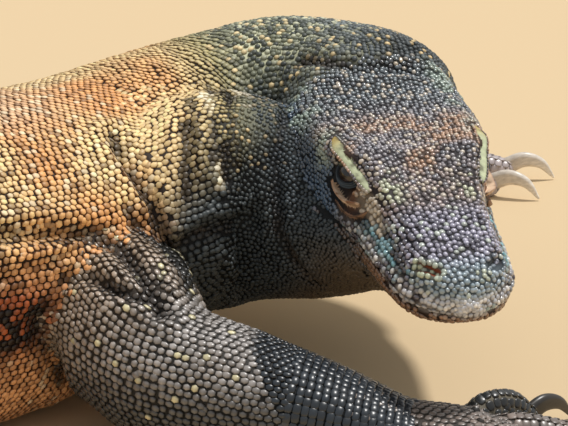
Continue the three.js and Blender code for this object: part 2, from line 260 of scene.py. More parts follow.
# ---- tube shapes
def even_outlines(outlines: Array, count: int) -> Array:
    """Spaces the points of closed outlines evenly round, starting from their first point.

    Args:
        outlines: Rings by points by two.
        count: Points wanted round each ring.

    Returns:
        Rings by count by two.
    """
    closed = np.concatenate([outlines, outlines[:, :1]], axis=1)
    steps = size_of(np.diff(closed, axis=1))
    gone = np.concatenate([np.zeros((len(closed), 1)), np.cumsum(steps, axis=1)], axis=1)
    wanted = np.arange(count) / count
    even = [[np.interp(wanted * run[-1], run, ring[:, axis]) for axis in (0, 1)]
            for run, ring in zip(gone, closed)]
    return np.transpose(np.array(even), (0, 2, 1))


def grow_outlines(outlines: Array, distance: float) -> Array:
    """Moves closed outlines outward along the normal of the chord between neighbours."""
    along = unit(np.roll(outlines, -1, axis=1) - np.roll(outlines, 1, axis=1))
    return outlines + distance * np.stack([-along[..., 1], along[..., 0]], axis=-1)


def set_across(centres: Array, ahead: Array, outlines: Array) -> Array:
    """Sets flat outlines across a centre line.

    A point is the centre plus x times the right-hand direction plus y times the direction
    that leans least from vertical.

    Args:
        centres: Ring centres.
        ahead: Unit directions of the centre line, toward the head or the trunk's front.
        outlines: Rings by points by two, x to the right and y up.

    Returns:
        Rings by points by three.
    """
    above = unit(UP - ahead * ahead[:, 2:3])
    side = np.cross(ahead, above)
    return (centres[:, None] + outlines[..., :1] * side[:, None]
            + outlines[..., 1:] * above[:, None])


@dataclass
class Tube:
    """A closed tube of hide: rings of points in millimetres, evenly spaced round."""

    name: str
    rings: Array
    reach: Array

    def normals(self) -> Array:
        """The outward normals."""
        return self.crossed() * self.outward()

    def crossed(self) -> Array:
        """The unit cross product of the step round by the step along at each point."""
        around = np.roll(self.rings, -1, axis=1) - np.roll(self.rings, 1, axis=1)
        return unit(np.cross(around, np.gradient(self.rings, axis=0)))

    def outward(self) -> float:
        """Plus one where that cross product points outward, and minus one elsewhere."""
        away = self.rings - self.rings.mean(axis=1, keepdims=True)
        return float(np.sign((self.crossed() * away).sum(axis=-1).mean()))

    def sample(self, ring: Array, turn: Array) -> Array:
        """Reads the surface between its points.

        Args:
            ring: Fractional ring numbers.
            turn: Shares of a full turn.

        Returns:
            One place per pair, blended from the four points round it.
        """
        count, sides = self.rings.shape[:2]
        r = np.clip(ring, 0, count - 1.001)
        i = np.floor(r).astype(int)
        c = np.mod(turn, 1.0) * sides
        j = np.floor(c).astype(int) % sides
        u, v = (r - i)[..., None], (c - np.floor(c))[..., None]
        k = (j + 1) % sides
        p = self.rings
        return ((1 - u) * ((1 - v) * p[i, j] + v * p[i, k])
                + u * ((1 - v) * p[i + 1, j] + v * p[i + 1, k]))


@dataclass(frozen=True)
class SpinePlan:
    """The head, neck, trunk and tail as one loft.

    A head section holds its distance back, then crown height; brow half width, height;
    cheek half width, height; lip half width, height; jaw half width, height; chin height,
    all in head lengths.  A body section holds centre x, y, z; half width; height above and
    depth below the centre; flatness of the underside; shift toward the left side.
    """

    head: tuple = (
        (0.00, 0.050, 0.022, 0.045, 0.040, 0.022, 0.042, 0.000, 0.022, -0.014, -0.017),
        (0.025, 0.090, 0.058, 0.080, 0.092, 0.030, 0.094, 0.000, 0.064, -0.029, -0.035),
        (0.07, 0.114, 0.090, 0.106, 0.134, 0.036, 0.137, 0.000, 0.102, -0.043, -0.052),
        (0.14, 0.132, 0.108, 0.120, 0.162, 0.040, 0.165, 0.000, 0.128, -0.058, -0.070),
        (0.25, 0.144, 0.118, 0.132, 0.176, 0.042, 0.178, 0.000, 0.144, -0.075, -0.092),
        (0.38, 0.158, 0.134, 0.152, 0.190, 0.042, 0.190, 0.000, 0.160, -0.094, -0.118),
        (0.46, 0.174, 0.152, 0.172, 0.204, 0.044, 0.204, 0.000, 0.174, -0.110, -0.142),
        (0.54, 0.188, 0.192, 0.200, 0.226, 0.050, 0.222, 0.000, 0.188, -0.130, -0.175),
        (0.65, 0.192, 0.218, 0.190, 0.254, 0.046, 0.248, 0.000, 0.210, -0.160, -0.225),
        (0.80, 0.194, 0.228, 0.168, 0.276, 0.040, 0.276, -0.010, 0.230, -0.190, -0.270),
        (0.95, 0.202, 0.208, 0.168, 0.278, 0.040, 0.284, -0.030, 0.234, -0.210, -0.300),
    )
    body: tuple = (
        (150.1, -6.6, 140, 62, 50, 62, 0, 9),
        (143.7, 22.3, 140, 60, 48, 62, 0, 12),
        (121.4, 44.8, 137, 60, 50, 62, 0, 12),
        (88.5, 54.4, 129, 65, 50, 64, 0, 8),
        (40, 43, 119, 76, 58, 74, 0, 0),
        (-5, 25, 107, 90, 67, 92, 0.2, 0),
        (-60, 7, 97, 106, 77, 97, 0.4, 0),
        (-150, 0, 92, 124, 92, 94, 0.7, 0),
        (-300, 0, 93, 146, 100, 96, 0.9, 0),
        (-460, 0, 90, 146, 100, 93, 0.9, 0),
        (-600, 0, 84, 118, 94, 87, 0.7, 0),
        (-700, 0, 76, 90, 86, 79, 0.4, 0),
        (-800, 0, 67, 68, 74, 69, 0.2, 0),
        (-950, 12, 58, 51, 62, 60, 0, 0),
        (-1200, 40, 46, 36, 50, 48, 0, 0),
        (-1500, 60, 35, 25, 38, 37, 0, 0),
        (-1800, 35, 23, 15.5, 25, 25, 0, 0),
        (-2050, -20, 12, 7.5, 13, 14, 0, 0),
        (-2150, -45, 7, 3, 7, 9, 0, 0),
    )
    bend_reach: float = 30.0
    snout_cap: float = 2.2
    snout_swing: tuple = (84.0, 72.0, 58.0, 44.0, 30.0, 15.0)
    sides: int = 144
    first_body: int = 130
    stretches: tuple = ((0, 12, 0.8), (12, 205, 1.5), (205, 420, 4.5), (420, 1110, 7.5),
                        (1110, 2570, 14.0))
    fine_sides: int = 240
    tail_end: tuple = (6, 1)

    def rows(self) -> tuple:
        """The knots along the spine and the rows of numbers at them."""
        head = [np.r_[HEAD.point(line[0], 0, 0), np.array(line[1:]) * HEAD.length, 0.0]
                for line in self.head]
        body = [np.r_[np.array(line[:3]) + ORIGIN_SHIFT, self.oval(*line[3:7]), line[7]]
                for line in self.body]
        rows = np.array(head + body)
        return run_along(rows[:, :3]), rows

    @staticmethod
    def oval(width: float, up: float, down: float, flat: float) -> Array:
        """The half profile of an oval with its own top, bottom and flat underside."""
        return np.array([up, 0.588 * width, 0.809 * up, 0.951 * width, 0.309 * up, 0.951 * width,
                         -0.309 * down, (0.588 + 0.2 * flat) * width,
                         -(0.809 + 0.15 * flat) * down, -down])

    @staticmethod
    def outlines(profiles: Array, count: int) -> Array:
        """Closed outlines through the ten points of each half profile and its mirror.

        Periodic cubic pieces whose slope at a point is half the chord between its neighbours.

        Args:
            profiles: Rings by ten numbers.
            count: Points round.

        Returns:
            Rings by count by two.
        """
        p = profiles
        none = np.zeros(len(p))
        right = [(p[:, 1], p[:, 2]), (p[:, 3], p[:, 4]), (p[:, 5], p[:, 6]), (p[:, 7], p[:, 8])]
        left = [(-x, y) for x, y in right[::-1]]
        points = np.array([(none, p[:, 0])] + right + [(none, p[:, 9])] + left)
        points = np.transpose(points, (2, 0, 1))
        u = np.arange(count) * 10 / count
        i = np.floor(u).astype(int)
        f = (u - i)[None, :, None]
        a, b, c, d = (points[:, (i + step) % 10] for step in (9, 0, 1, 2))
        return ((2 * f**3 - 3 * f**2 + 1) * b + (f**3 - 2 * f**2 + f) * (c - a) * 0.5
                + (3 * f**2 - 2 * f**3) * c + (f**3 - f**2) * (d - b) * 0.5)

    def loft(self) -> Tube:
        """The spine's tube, without relief: rings along it after a domed snout."""
        knots, rows = self.rows()
        ends = np.concatenate([np.arange(a, b, step) for a, b, step in self.stretches])
        tail = knots[-1] - np.array(self.tail_end)
        at = np.r_[ends[ends < tail[0] - 2], tail]
        read = smooth_rows(at, knots, rows)
        ahead = smooth_rows(np.maximum(at - self.bend_reach, 0), knots, rows)[:, :3]
        behind = smooth_rows(np.minimum(at + self.bend_reach, knots[-1]), knots, rows)[:, :3]
        outline = self.outlines(read[:, 3:13], self.fine_sides)
        outline[..., 0] -= read[:, 13:14]
        outline = even_outlines(grow_outlines(outline, -COAT_DEPTH), self.sides)
        middle = outline[:1].mean(axis=1, keepdims=True)
        swing = np.radians(self.snout_swing)
        cap = middle + (outline[:1] - middle) * np.cos(swing)[:, None, None]
        ways = unit(ahead - behind)
        bulge = self.snout_cap * np.sin(swing)
        centres = np.concatenate([read[:1, :3] + ways[:1] * bulge[:, None], read[:, :3]])
        ways = np.concatenate([np.repeat(ways[:1], len(cap), axis=0), ways])
        rings = set_across(centres, ways, np.concatenate([cap, outline]))
        rings[self.first_body:] = uncross(rings[self.first_body:])
        return Tube("spine", rings, np.r_[-bulge - 0.01, at])


@dataclass(frozen=True)
class LimbPlan:
    """A bent tapering length: centre line, half widths and half heights."""

    name: str
    path: tuple
    widths: tuple
    heights: tuple
    step: float = 4.5
    sides: int = 48
    round_start: bool = False
    dome: tuple = (14, 28, 42, 56, 70, 82)
    dome_height: float = 0.8

    def loft(self) -> Tube:
        """The limb's tube: ovals along the smooth centre line, with a domed end."""
        path = np.array(self.path, float) + ORIGIN_SHIFT
        knots = run_along(path)
        rows = np.c_[path, np.array(self.widths, float), np.array(self.heights, float)]
        count = max(int(knots[-1] / self.step), 6)
        at = np.linspace(0, knots[-1], count)
        swing = np.radians(np.array(self.dome))
        at = np.r_[at, np.full(len(swing), knots[-1])]
        lift = np.r_[np.zeros(count), np.sin(swing)]
        shrink = np.r_[np.ones(count), np.cos(swing)]
        if self.round_start:
            at = np.r_[np.zeros(len(swing)), at]
            lift = np.r_[-np.sin(swing[::-1]), lift]
            shrink = np.r_[np.cos(swing[::-1]), shrink]
        read = smooth_rows(at, knots, rows)
        reach = 0.5
        before = smooth_rows(np.maximum(at - reach, 0), knots, rows)[:, :3]
        after = smooth_rows(np.minimum(at + reach, knots[-1]), knots, rows)[:, :3]
        ahead = unit(after - before)
        cap = np.minimum(read[:, 3], read[:, 4]) * self.dome_height
        centres = read[:, :3] + ahead * (lift * cap)[:, None]
        angle = np.arange(160) * 2 * np.pi / 160
        width = (read[:, 3] - COAT_DEPTH) * shrink
        height = (read[:, 4] - COAT_DEPTH) * shrink
        outline = np.stack([width[:, None] * np.sin(angle), height[:, None] * np.cos(angle)],
                           axis=-1)
        rings = set_across(centres, ahead, even_outlines(outline, self.sides))
        return Tube(self.name, rings, run_along(centres))


ARMS_AND_LEGS = (
    LimbPlan("arm_right",
             ((-35, -40, 78), (-30, -88, 68), (-17, -129, 47), (22, -161, 37), (58, -184, 30),
              (89, -203, 22)),
             (52, 48, 41, 39, 33, 28), (44, 46, 42, 36, 28, 20), step=4.0, sides=64),
    LimbPlan("arm_left",
             ((-20, 55, 90), (45, 135, 85), (102, 192, 67), (175, 235, 44), (252, 269, 21)),
             (50, 48, 41, 36, 28), (50, 46, 42, 33, 19)),
    LimbPlan("thigh_right", ((-600, -60, 80), (-562, -150, 78), (-505, -232, 64)),
             (72, 62, 50), (66, 60, 50), step=6.0),
    LimbPlan("thigh_left", ((-600, 60, 80), (-580, 150, 78), (-538, 238, 64)),
             (72, 62, 50), (66, 60, 50), step=6.0),
    LimbPlan("shank_right", ((-515, -240, 62), (-590, -272, 46), (-675, -302, 24)),
             (46, 43, 28), (47, 41, 22), round_start=True),
    LimbPlan("shank_left", ((-547, 246, 62), (-615, 284, 46), (-698, 326, 24)),
             (46, 43, 28), (47, 41, 22), round_start=True),
)
THROAT = LimbPlan("throat",
                  ((0, -18, 98), (42, -14, 102), (80, -26, 101), (107, -66, 95), (121, -118, 95)),
                  (66, 62, 52, 38, 26), (62, 66, 63, 45, 23), step=3.0, sides=96)


@dataclass(frozen=True)
class FootPlan:
    """A hand or foot: wrist or ankle, heading, side, size, then each digit's spread and length."""

    name: str
    wrist: tuple
    heading: float
    side: int
    size: float
    digits: tuple
    palm_along: tuple = (-22, 20, 48, 68)
    palm_widths: tuple = (23, 31, 35, 21)
    palm_heights: tuple = (19, 16.5, 14, 11)
    palm_drop: tuple = (0, -4, -7, -9)
    toe_parts: tuple = (0, 0.4, 0.75, 1)
    toe_lift: tuple = (11, 15, 11.5, 8)
    toe_widths: tuple = (11, 10, 9, 7)
    toe_heights: tuple = (11, 10.5, 10, 8)
    first_dome: tuple = (0, 0, 0, 0)
    first_root: float = -26.0
    root_step: float = 12.5
    root_ahead: float = 45.0

    def sized(self, values: tuple) -> tuple:
        """Lengths at this foot's size."""
        return tuple(value * self.size for value in values)

    def palm(self) -> Tube:
        """The palm or sole."""
        turn = np.radians(self.heading)
        path = tuple((self.wrist[0] + np.cos(turn) * along * self.size,
                      self.wrist[1] + np.sin(turn) * along * self.size,
                      self.wrist[2] + drop * self.size)
                     for along, drop in zip(self.palm_along, self.palm_drop))
        return LimbPlan(f"palm_{self.name}", path, self.sized(self.palm_widths),
                        self.sized(self.palm_heights), 3.5, 48).loft()

    def rays(self) -> list:
        """The direction, root and length of each digit."""
        turn = np.radians(self.heading)
        ahead = np.array([np.cos(turn), np.sin(turn), 0])
        left = np.array([-ahead[1], ahead[0], 0])
        rays = []
        for k, (spread, length) in enumerate(self.digits):
            angle = np.radians(spread) * self.side
            along = ahead * np.cos(angle) + left * np.sin(angle)
            across = self.first_root + self.root_step * k
            root = (np.array([self.wrist[0], self.wrist[1], 0])
                    + ahead * self.root_ahead * self.size + left * self.side * across * self.size)
            rays.append((along, root, length * self.size))
        return rays

    def toes(self) -> list:
        """The five digits as tubes."""
        tubes = []
        for k, (along, root, length) in enumerate(self.rays()):
            path = tuple(tuple(root + along * length * part + UP * lift * self.size)
                         for part, lift in zip(self.toe_parts, self.toe_lift))
            heights = np.array(self.toe_heights) + np.array(self.first_dome) * (k == 0)
            tubes.append(LimbPlan(f"toe_{self.name}_{k + 1}", path, self.sized(self.toe_widths),
                                  self.sized(heights), 2.6, 24).loft())
        return tubes


FEET = (
    FootPlan("hand_right", (87, -202, 21), -26, -1, 1.0,
             ((-40, 44), (-16, 62), (2, 72), (18, 68), (46, 52)),
             palm_heights=(21, 20, 18, 14), first_dome=(5, 7, 6, 2)),
    FootPlan("hand_left", (252, 269, 21), -32, 1, 1.0,
             ((-70, 42), (-48, 54), (-7, 68), (12, 75), (64, 48))),
    FootPlan("foot_right", (-679, -303, 22), -44, -1, 1.15,
             ((-30, 46), (-14, 66), (2, 82), (18, 86), (56, 66))),
    FootPlan("foot_left", (-702, 328, 22), 34, 1, 1.15,
             ((-30, 46), (-14, 66), (2, 82), (18, 86), (56, 66))),
)


# ---- relief
@dataclass(frozen=True)
class Fold:
    """A crease in the skin, or a raised ridge where its depth is negative."""

    path: tuple
    width: float
    depth: float
    lip: float = 0.0

    def push(self, points: Array) -> Array:
        """How far the fold moves each point outward, in millimetres.

        Minus depth times a bell of the distance to the path, plus a lip beside it.
        """
        line = np.array(self.path, float)
        start, step = line[:-1], np.diff(line, axis=0)
        flat = points.reshape(-1, 3)
        best = np.full(len(flat), np.inf)
        for a, d in zip(start, step):
            t = np.clip((flat - a) @ d / (d @ d), 0, 1)
            best = np.minimum(best, size_of(flat - a - t[:, None] * d))
        push = -self.depth * bell(best, self.width)
        push += self.lip * bell(best - 2.1 * self.width, 1.1 * self.width)
        return push.reshape(points.shape[:-1])


FOLDS = (
    # over the shoulder, where the trunk's skin hangs above the arm
    Fold(((150, -118, 128), (198, -104, 130), (234, -98, 123), (258, -93, 118), (268, -100, 111),
          (272, -114, 104), (275, -130, 95), (276, -142, 86)), 5.0, 6.5, 3.0),
    # down the side of the neck base
    Fold(((286, -40, 158), (287, -58, 146), (292, -69, 131), (297, -78, 114), (297, -96, 104),
          (296, -108, 98)), 4.5, 5.0, 3.0),
    Fold(((281, -80, 125), (286, -84, 111), (284, -112, 100), (283, -126, 96)), 3.5, 3.0, 1.5),
    Fold(((364, 8, 168), (352, -30, 160), (345, -45, 156), (338, -61, 140)), 4.0, 2.6, 1.2),
    Fold(((366, -20, 166), (359, -33, 160), (348, -55, 146), (344, -65, 132)), 3.6, 3.6, 1.6),
    Fold(((330, -40, 158), (322, -60, 142), (318, -72, 128)), 4.0, 2.2, 1.2),
    # the raised fold that crosses the side of the neck and what hangs from it
    Fold(((306, -80, 110), (318, -77, 113), (330, -74, 116), (349, -68, 116), (359, -70, 118),
          (364, -72, 123)), 3.6, -4.5),
    Fold(((306, -82, 100), (325, -78, 105), (350, -72, 106), (358, -74, 108)), 5.5, 5.0),
    Fold(((366, -70, 128), (368, -76, 112), (365, -78, 92), (366, -70, 68)), 3.6, -3.8),
    Fold(((359, -72, 110), (359, -76, 92), (359, -68, 70)), 3.4, 3.6),
    Fold(((338, -76, 90), (346, -70, 80), (355, -62, 70), (367, -60, 60)), 3.6, -4.0),
    # behind the jaw
    Fold(((392, -40, 158), (378, -62, 140), (373, -76, 118), (373, -80, 100), (381, -87, 82),
          (389, -95, 71)), 3.6, 3.6, 1.4),
    Fold(((420, 2, 176), (428, -20, 180), (440, -34, 181), (462, -36, 178), (484, -38, 168),
          (497, -42, 150)), 5.0, 3.4, 1.6),
    # above the upper arm and behind the elbow
    Fold(((232, -104, 100), (246, -110, 101), (258, -125, 95), (268, -134, 91)), 3.6, 4.6, 1.8),
    Fold(((213, -108, 78), (220, -106, 62), (227, -102, 50), (238, -90, 30)), 6.0, 5.5, 2.0),
)


# The raised brow over the eye, running toward the snout, in head lengths.
BROW = ((0.71, 0.178, 0.19), (0.66, 0.156, 0.196), (0.58, 0.152, 0.20), (0.512, 0.150, 0.192),
        (0.458, 0.144, 0.175), (0.40, 0.132, 0.158), (0.34, 0.124, 0.148))
# Height in millimetres, then place and size in head lengths, on both sides.
HEAD_BUMPS = (
    # hollows behind the eye and along the snout, swellings under the eye and over the jaw
    (-1.8, (0.62, 0.24, 0.12), (0.05, 0.03, 0.035)),
    (-2.2, (0.34, 0.17, 0.095), (0.10, 0.04, 0.022)),
    (1.4, (0.46, 0.21, 0.06), (0.06, 0.05, 0.03)),
    (2.4, (0.78, 0.27, 0.04), (0.09, 0.05, 0.07)),
    # the crown's hollow, the nostril's swelling and the snout's tip
    (-1.4, (0.72, 0.10, 0.20), (0.08, 0.05, 0.03)),
    (1.2, (0.09, 0.10, 0.10), (0.045, 0.03, 0.03)),
    (1.1, (0.045, 0.0, 0.085), (0.03, 0.05, 0.03)),
    # the ear and its rim
    (-6.0, EAR_AT, (0.020, 0.03, 0.030)),
    (1.2, EAR_AT, (0.05, 0.05, 0.06)),
)


def head_relief(tube: Tube, normals: Array) -> Array:
    """Moves the head's points to raise brows and cheeks and sink mouth, nostrils and ears.

    Args:
        tube: The spine's tube.
        normals: Its outward normals.

    Returns:
        The rings after the relief.
    """
    here = HEAD.folded(tube.rings)
    back, high = here[..., 0], here[..., 2]
    push = ridge(here, BROW, 2.6, 1.9)
    for height, place, size in HEAD_BUMPS:
        away = (here - np.array(place)) / np.array(size)
        push += height * np.exp(-(away**2).sum(axis=-1))
    push += ridge(here, NOSTRIL_SLIT, 2.1, -4.6)
    lip = mouth_height(back)
    on_side = ease(0.76 - back, 0.0, 0.04) * ease(back, 0.0, 0.012)
    push -= 2.6 * bell(high - lip, 0.0062) * on_side
    push += 1.2 * bell(high - lip - 0.022, 0.014) * on_side
    push += 0.9 * bell(high - lip + 0.022, 0.014) * on_side
    on_head = fall(back, 0.98, 1.02)
    rings = tube.rings + normals * (push * on_head)[..., None]
    for side in (1, -1):
        centre = HEAD.point(ORBIT_AT[0], ORBIT_AT[1] * side, ORBIT_AT[2])
        rings = scoop(rings, normals, centre, ORBIT_RADIUS)
    return rings


def head_path(path: tuple) -> tuple:
    """A path in head lengths, given in millimetres along the head's own axes."""
    return tuple(tuple(np.array(place) * HEAD.length) for place in path)


def ridge(here: Array, path: tuple, width: float, height: float) -> Array:
    """A raised line on the head, its path in head lengths, its width and height in millimetres."""
    return Fold(head_path(path), width, -height).push(here * HEAD.length)


def stroke(points: Array, path: tuple, width: float) -> Array:
    """A soft line in space: a bell of the distance to a path, one on the path itself."""
    return Fold(path, width, -1.0).push(points)


def mouth_height(back: Array) -> Array:
    """The height of the mouth line at a distance back, in head lengths."""
    return np.interp(back, (0.0, 0.25, 0.55, 0.72, 0.80), (0.0, 0.0, -0.012, -0.002, -0.02))


def scoop(rings: Array, normals: Array, centre: Array, radius: float) -> Array:
    """Presses a ball into the surface.

    A point inside the ball slides inward along its normal until it lies on the ball:
    with d the place from the centre, the slide is d.n plus the root of
    (d.n) squared less d squared plus radius squared.

    Args:
        rings: The tube's points.
        normals: Its outward normals.
        centre: The ball's middle.
        radius: The ball's radius.

    Returns:
        The points after it.
    """
    away = rings - centre
    inside = size_of(away) < radius
    along = (away * normals).sum(axis=-1)
    slide = along + np.sqrt(np.maximum(along**2 - (away**2).sum(axis=-1) + radius**2, 0))
    return rings - normals * np.where(inside, slide, 0)[..., None]


def wrinkles(points: Array, ahead: Array, spacing: float, depth: float, seed: int) -> Array:
    """Soft uneven ripples across a direction: a sine of the distance bent by a random field."""
    phase = points @ ahead / spacing + 1.6 * cloud(points, spacing * 4, seed)
    return depth * np.sin(2 * np.pi * phase) * cloud(points, spacing * 6, seed + 1)


def uncross(rings: Array, least: float = 0.2, passes: int = 60) -> Array:
    """Opens the rings where they run through one another on the inner side of a bend.

    Where the step along a column, measured along the centre line, is less than a share of
    the centre line's own step, the points nearby move to the mean of those before and after.

    Args:
        rings: Rings by points by three.
        least: The least share.
        passes: How often the points move.

    Returns:
        The rings, with every column running one way.
    """
    for _ in range(passes):
        centre = np.diff(rings.mean(axis=1), axis=0)
        size = np.linalg.norm(centre, axis=1, keepdims=True)
        forward = (np.diff(rings, axis=0) * unit(centre)[:, None]).sum(axis=-1)
        tight = forward < least * size
        padded = np.pad(tight, ((2, 2), (0, 0)))
        near = np.zeros(rings.shape[:2], bool)
        near[:-1] = np.any([padded[k:k + len(tight)] for k in range(5)], axis=0)
        near |= np.roll(near, 1, axis=1) | np.roll(near, -1, axis=1)
        near[[0, -1]] = False
        mean = rings.copy()
        mean[1:-1] = (rings[:-2] + rings[2:]) / 2
        rings = np.where(near[..., None], 0.4 * rings + 0.6 * mean, rings)
    LOG.info("tight places left: %d", int(tight.sum()))
    return rings


def relieve(tube: Tube) -> Tube:
    """Adds folds and, on the spine, the head's relief, and keeps the tube above the floor.

    Args:
        tube: A smooth tube.

    Returns:
        The tube with its relief.
    """
    normals = tube.normals()
    rings = head_relief(tube, normals) if tube.name == "spine" else tube.rings
    push = sum(fold.push(tube.rings) for fold in FOLDS)
    if tube.name == "throat":
        push += wrinkles(tube.rings, unit(np.array([0.7, 0.6, 0.3])), 9.0, 0.9, 5)
    if tube.name == "spine":
        waist = ease(tube.reach, 230, 320) * fall(tube.reach, 480, 600)
        ripple = wrinkles(tube.rings, np.array([0.94, 0.33, 0.0]), 16.0, 1.1, 9)
        push += ripple * waist[:, None]
    rings = rings + normals * push[..., None]
    rings[..., 2] = np.maximum(rings[..., 2], SKIN_FLOOR)
    return Tube(tube.name, rings, tube.reach)


# ---- markings
@dataclass(frozen=True)
class Palette:
    """The hide's colours, as sRGB hex values."""

    gold: str = "#ffdfa2"
    gold_orange: str = "#f0a35c"
    bare: str = "#2a190c"
    gold_shade: str = "#6a3a12"
    spine_grey: str = "#f6e4c4"
    flank: str = "#f2b47c"
    flank_shade: str = "#4a220a"
    rear: str = "#bfa785"
    rear_shade: str = "#4d4030"
    olive: str = "#bcb17c"
    olive_shade: str = "#2c2c20"
    nape_skin: str = "#dfe0bd"
    nape_bead: str = "#82866f"
    nape_bead_blue: str = "#84909a"
    # Lower neck and throat: partly their own charcoal, partly painted shade.
    charcoal: str = "#42494b"
    charcoal_shade: str = "#090d0e"
    gular: str = "#665238"
    crown: str = "#8f8a90"
    crown_shade: str = "#2a2529"
    crown_tan: str = "#be926e"
    snout: str = "#a8a5b8"
    snout_shade: str = "#1c1a21"
    tip: str = "#a4b4c0"
    tip_shade: str = "#4b565d"
    pale_spot: str = "#c3cdc0"
    teal: str = "#76b0be"
    # Snout side and cheek: partly their own colour, partly painted shade.
    near_black: str = "#1d2024"
    cheek: str = "#46607c"
    cheek_shade: str = "#10171f"
    lip: str = "#bcbcc0"
    peach: str = "#c29a78"
    lid: str = "#c6cda6"
    arm: str = "#aaa5a2"
    arm_shade: str = "#2b2926"
    arm_pale: str = "#dcd3ab"
    shoulder: str = "#b39c82"
    # The wrists' near black is painted shadow of the head.
    wrist: str = "#1f2831"
    wrist_shade: str = "#05080b"
    hand: str = "#8a7d75"
    ember: str = "#a4552d"
    ember_shade: str = "#160903"
    belly: str = "#f0c898"
    belly_shade: str = "#59391f"


HIDE = Palette()


@dataclass
class Paint:
    """Colours of many places: the skin between scales, a scale's rim and its crown."""

    skin: Array
    rim: Array
    crown: Array

    @classmethod
    def plain(cls, count: int, skin: str, crown: str, rim: str = "") -> "Paint":
        """The same colours everywhere; rims are like the skin unless they have their own."""
        return cls(*(np.tile(linear(code), (count, 1)) for code in (skin, rim or skin, crown)))

    def over(self, share: Array, skin: str, crown: str, rim: str = "") -> None:
        """Lays such colours over this paint by a share from 0 to 1."""
        self.mix(share, linear(skin), linear(rim or skin), linear(crown))

    def mix(self, share: Array, skin: Array, rim: Array, crown: Array) -> None:
        """Lays linear colours over this paint."""
        self.skin = blend(self.skin, skin, share)
        self.rim = blend(self.rim, rim, share)
        self.crown = blend(self.crown, crown, share)

    def crowns(self, share: Array, colour: str) -> None:
        """Lays one colour over the crowns alone."""
        self.crown = blend(self.crown, linear(colour), share)


@dataclass(frozen=True)
class Spots:
    """Places to paint, in millimetres.

    `along` is the distance from the tube's start, `turn` the share of a turn from its top to
    the animal's right, and `grain` one random number each, which sets single scales apart.
    """

    points: Array
    along: Array
    turn: Array
    grain: Array


def spine_paint(at: Spots) -> Paint:
    """The markings of head, neck, trunk and tail.

    Args:
        at: Places to paint.

    Returns:
        The three colours at each place.
    """
    points, along, grain = at.points, at.along, at.grain
    low = np.minimum(at.turn, 1 - at.turn) * 2
    paint = Paint.plain(len(points), HIDE.bare, HIDE.gold, rim=HIDE.gold_shade)
    paint.crowns(0.8 * patches(points, 55, 3, 0.45, 0.16), HIDE.gold_orange)
    paint.over(0.6 * fall(low, 0.06, 0.2) * ease(along, 400, 520), HIDE.bare, HIDE.spine_grey,
               rim=HIDE.gold_shade)
    paint.over(ease(low, 0.34, 0.52), HIDE.bare, HIDE.flank, rim=HIDE.flank_shade)
    paint.over(ease(along, 720, 1050) * 0.85, HIDE.rear_shade, HIDE.rear)
    paint.over(ease(low, 0.74, 0.86) * ease(along, 380, 450), HIDE.belly_shade, HIDE.belly)
    paint.crowns(0.5 * (grain > 0.88) * ease(along, 380, 420), HIDE.flank_shade)
    paint.crowns(0.6 * (grain < 0.10) * ease(along, 380, 420), "#fff0cd")
    neck_paint(paint, points, along, grain)
    head = HeadMarks.at(points, grain).laid()
    paint.mix(fall(along, 198, 212), head.skin, head.rim, head.crown)
    return paint


def darken_creases(paint: Paint, points: Array) -> None:
    """Lays shade along the bottom of every crease."""
    creases = tuple((fold.path, 1.6 * fold.width) for fold in FOLDS if fold.depth > 0)
    depth = strokes(points, creases) * (0.72 + 0.42 * cloud(points, 7, 27))
    paint.over(0.88 * ease(depth, 0.44, 0.80), "#120d09", "#2a211a")


# Strokes on the neck's side, in millimetres: a path and a half width each.
WORN_STRIPE = ((((352, -14, 168), (349, -30, 162), (342, -50, 148), (339, -66, 130)), 5.0),
               (((372, -4, 171), (376, -16, 168), (370, -30, 163)), 6.5))
# Painted shadow: dark strokes along the creases beside the pale stripe.
CREASE_SHADOW_STROKES = ((((341, -19, 167), (332, -52, 154), (328, -69, 135)), 4.0),
                 (((362, -10, 168), (358, -42, 158), (352, -62, 140)), 5.0))


def strokes(points: Array, lines: tuple) -> Array:
    """The strongest of several strokes at each place."""
    return np.max([stroke(points, path, width) for path, width in lines], axis=0)


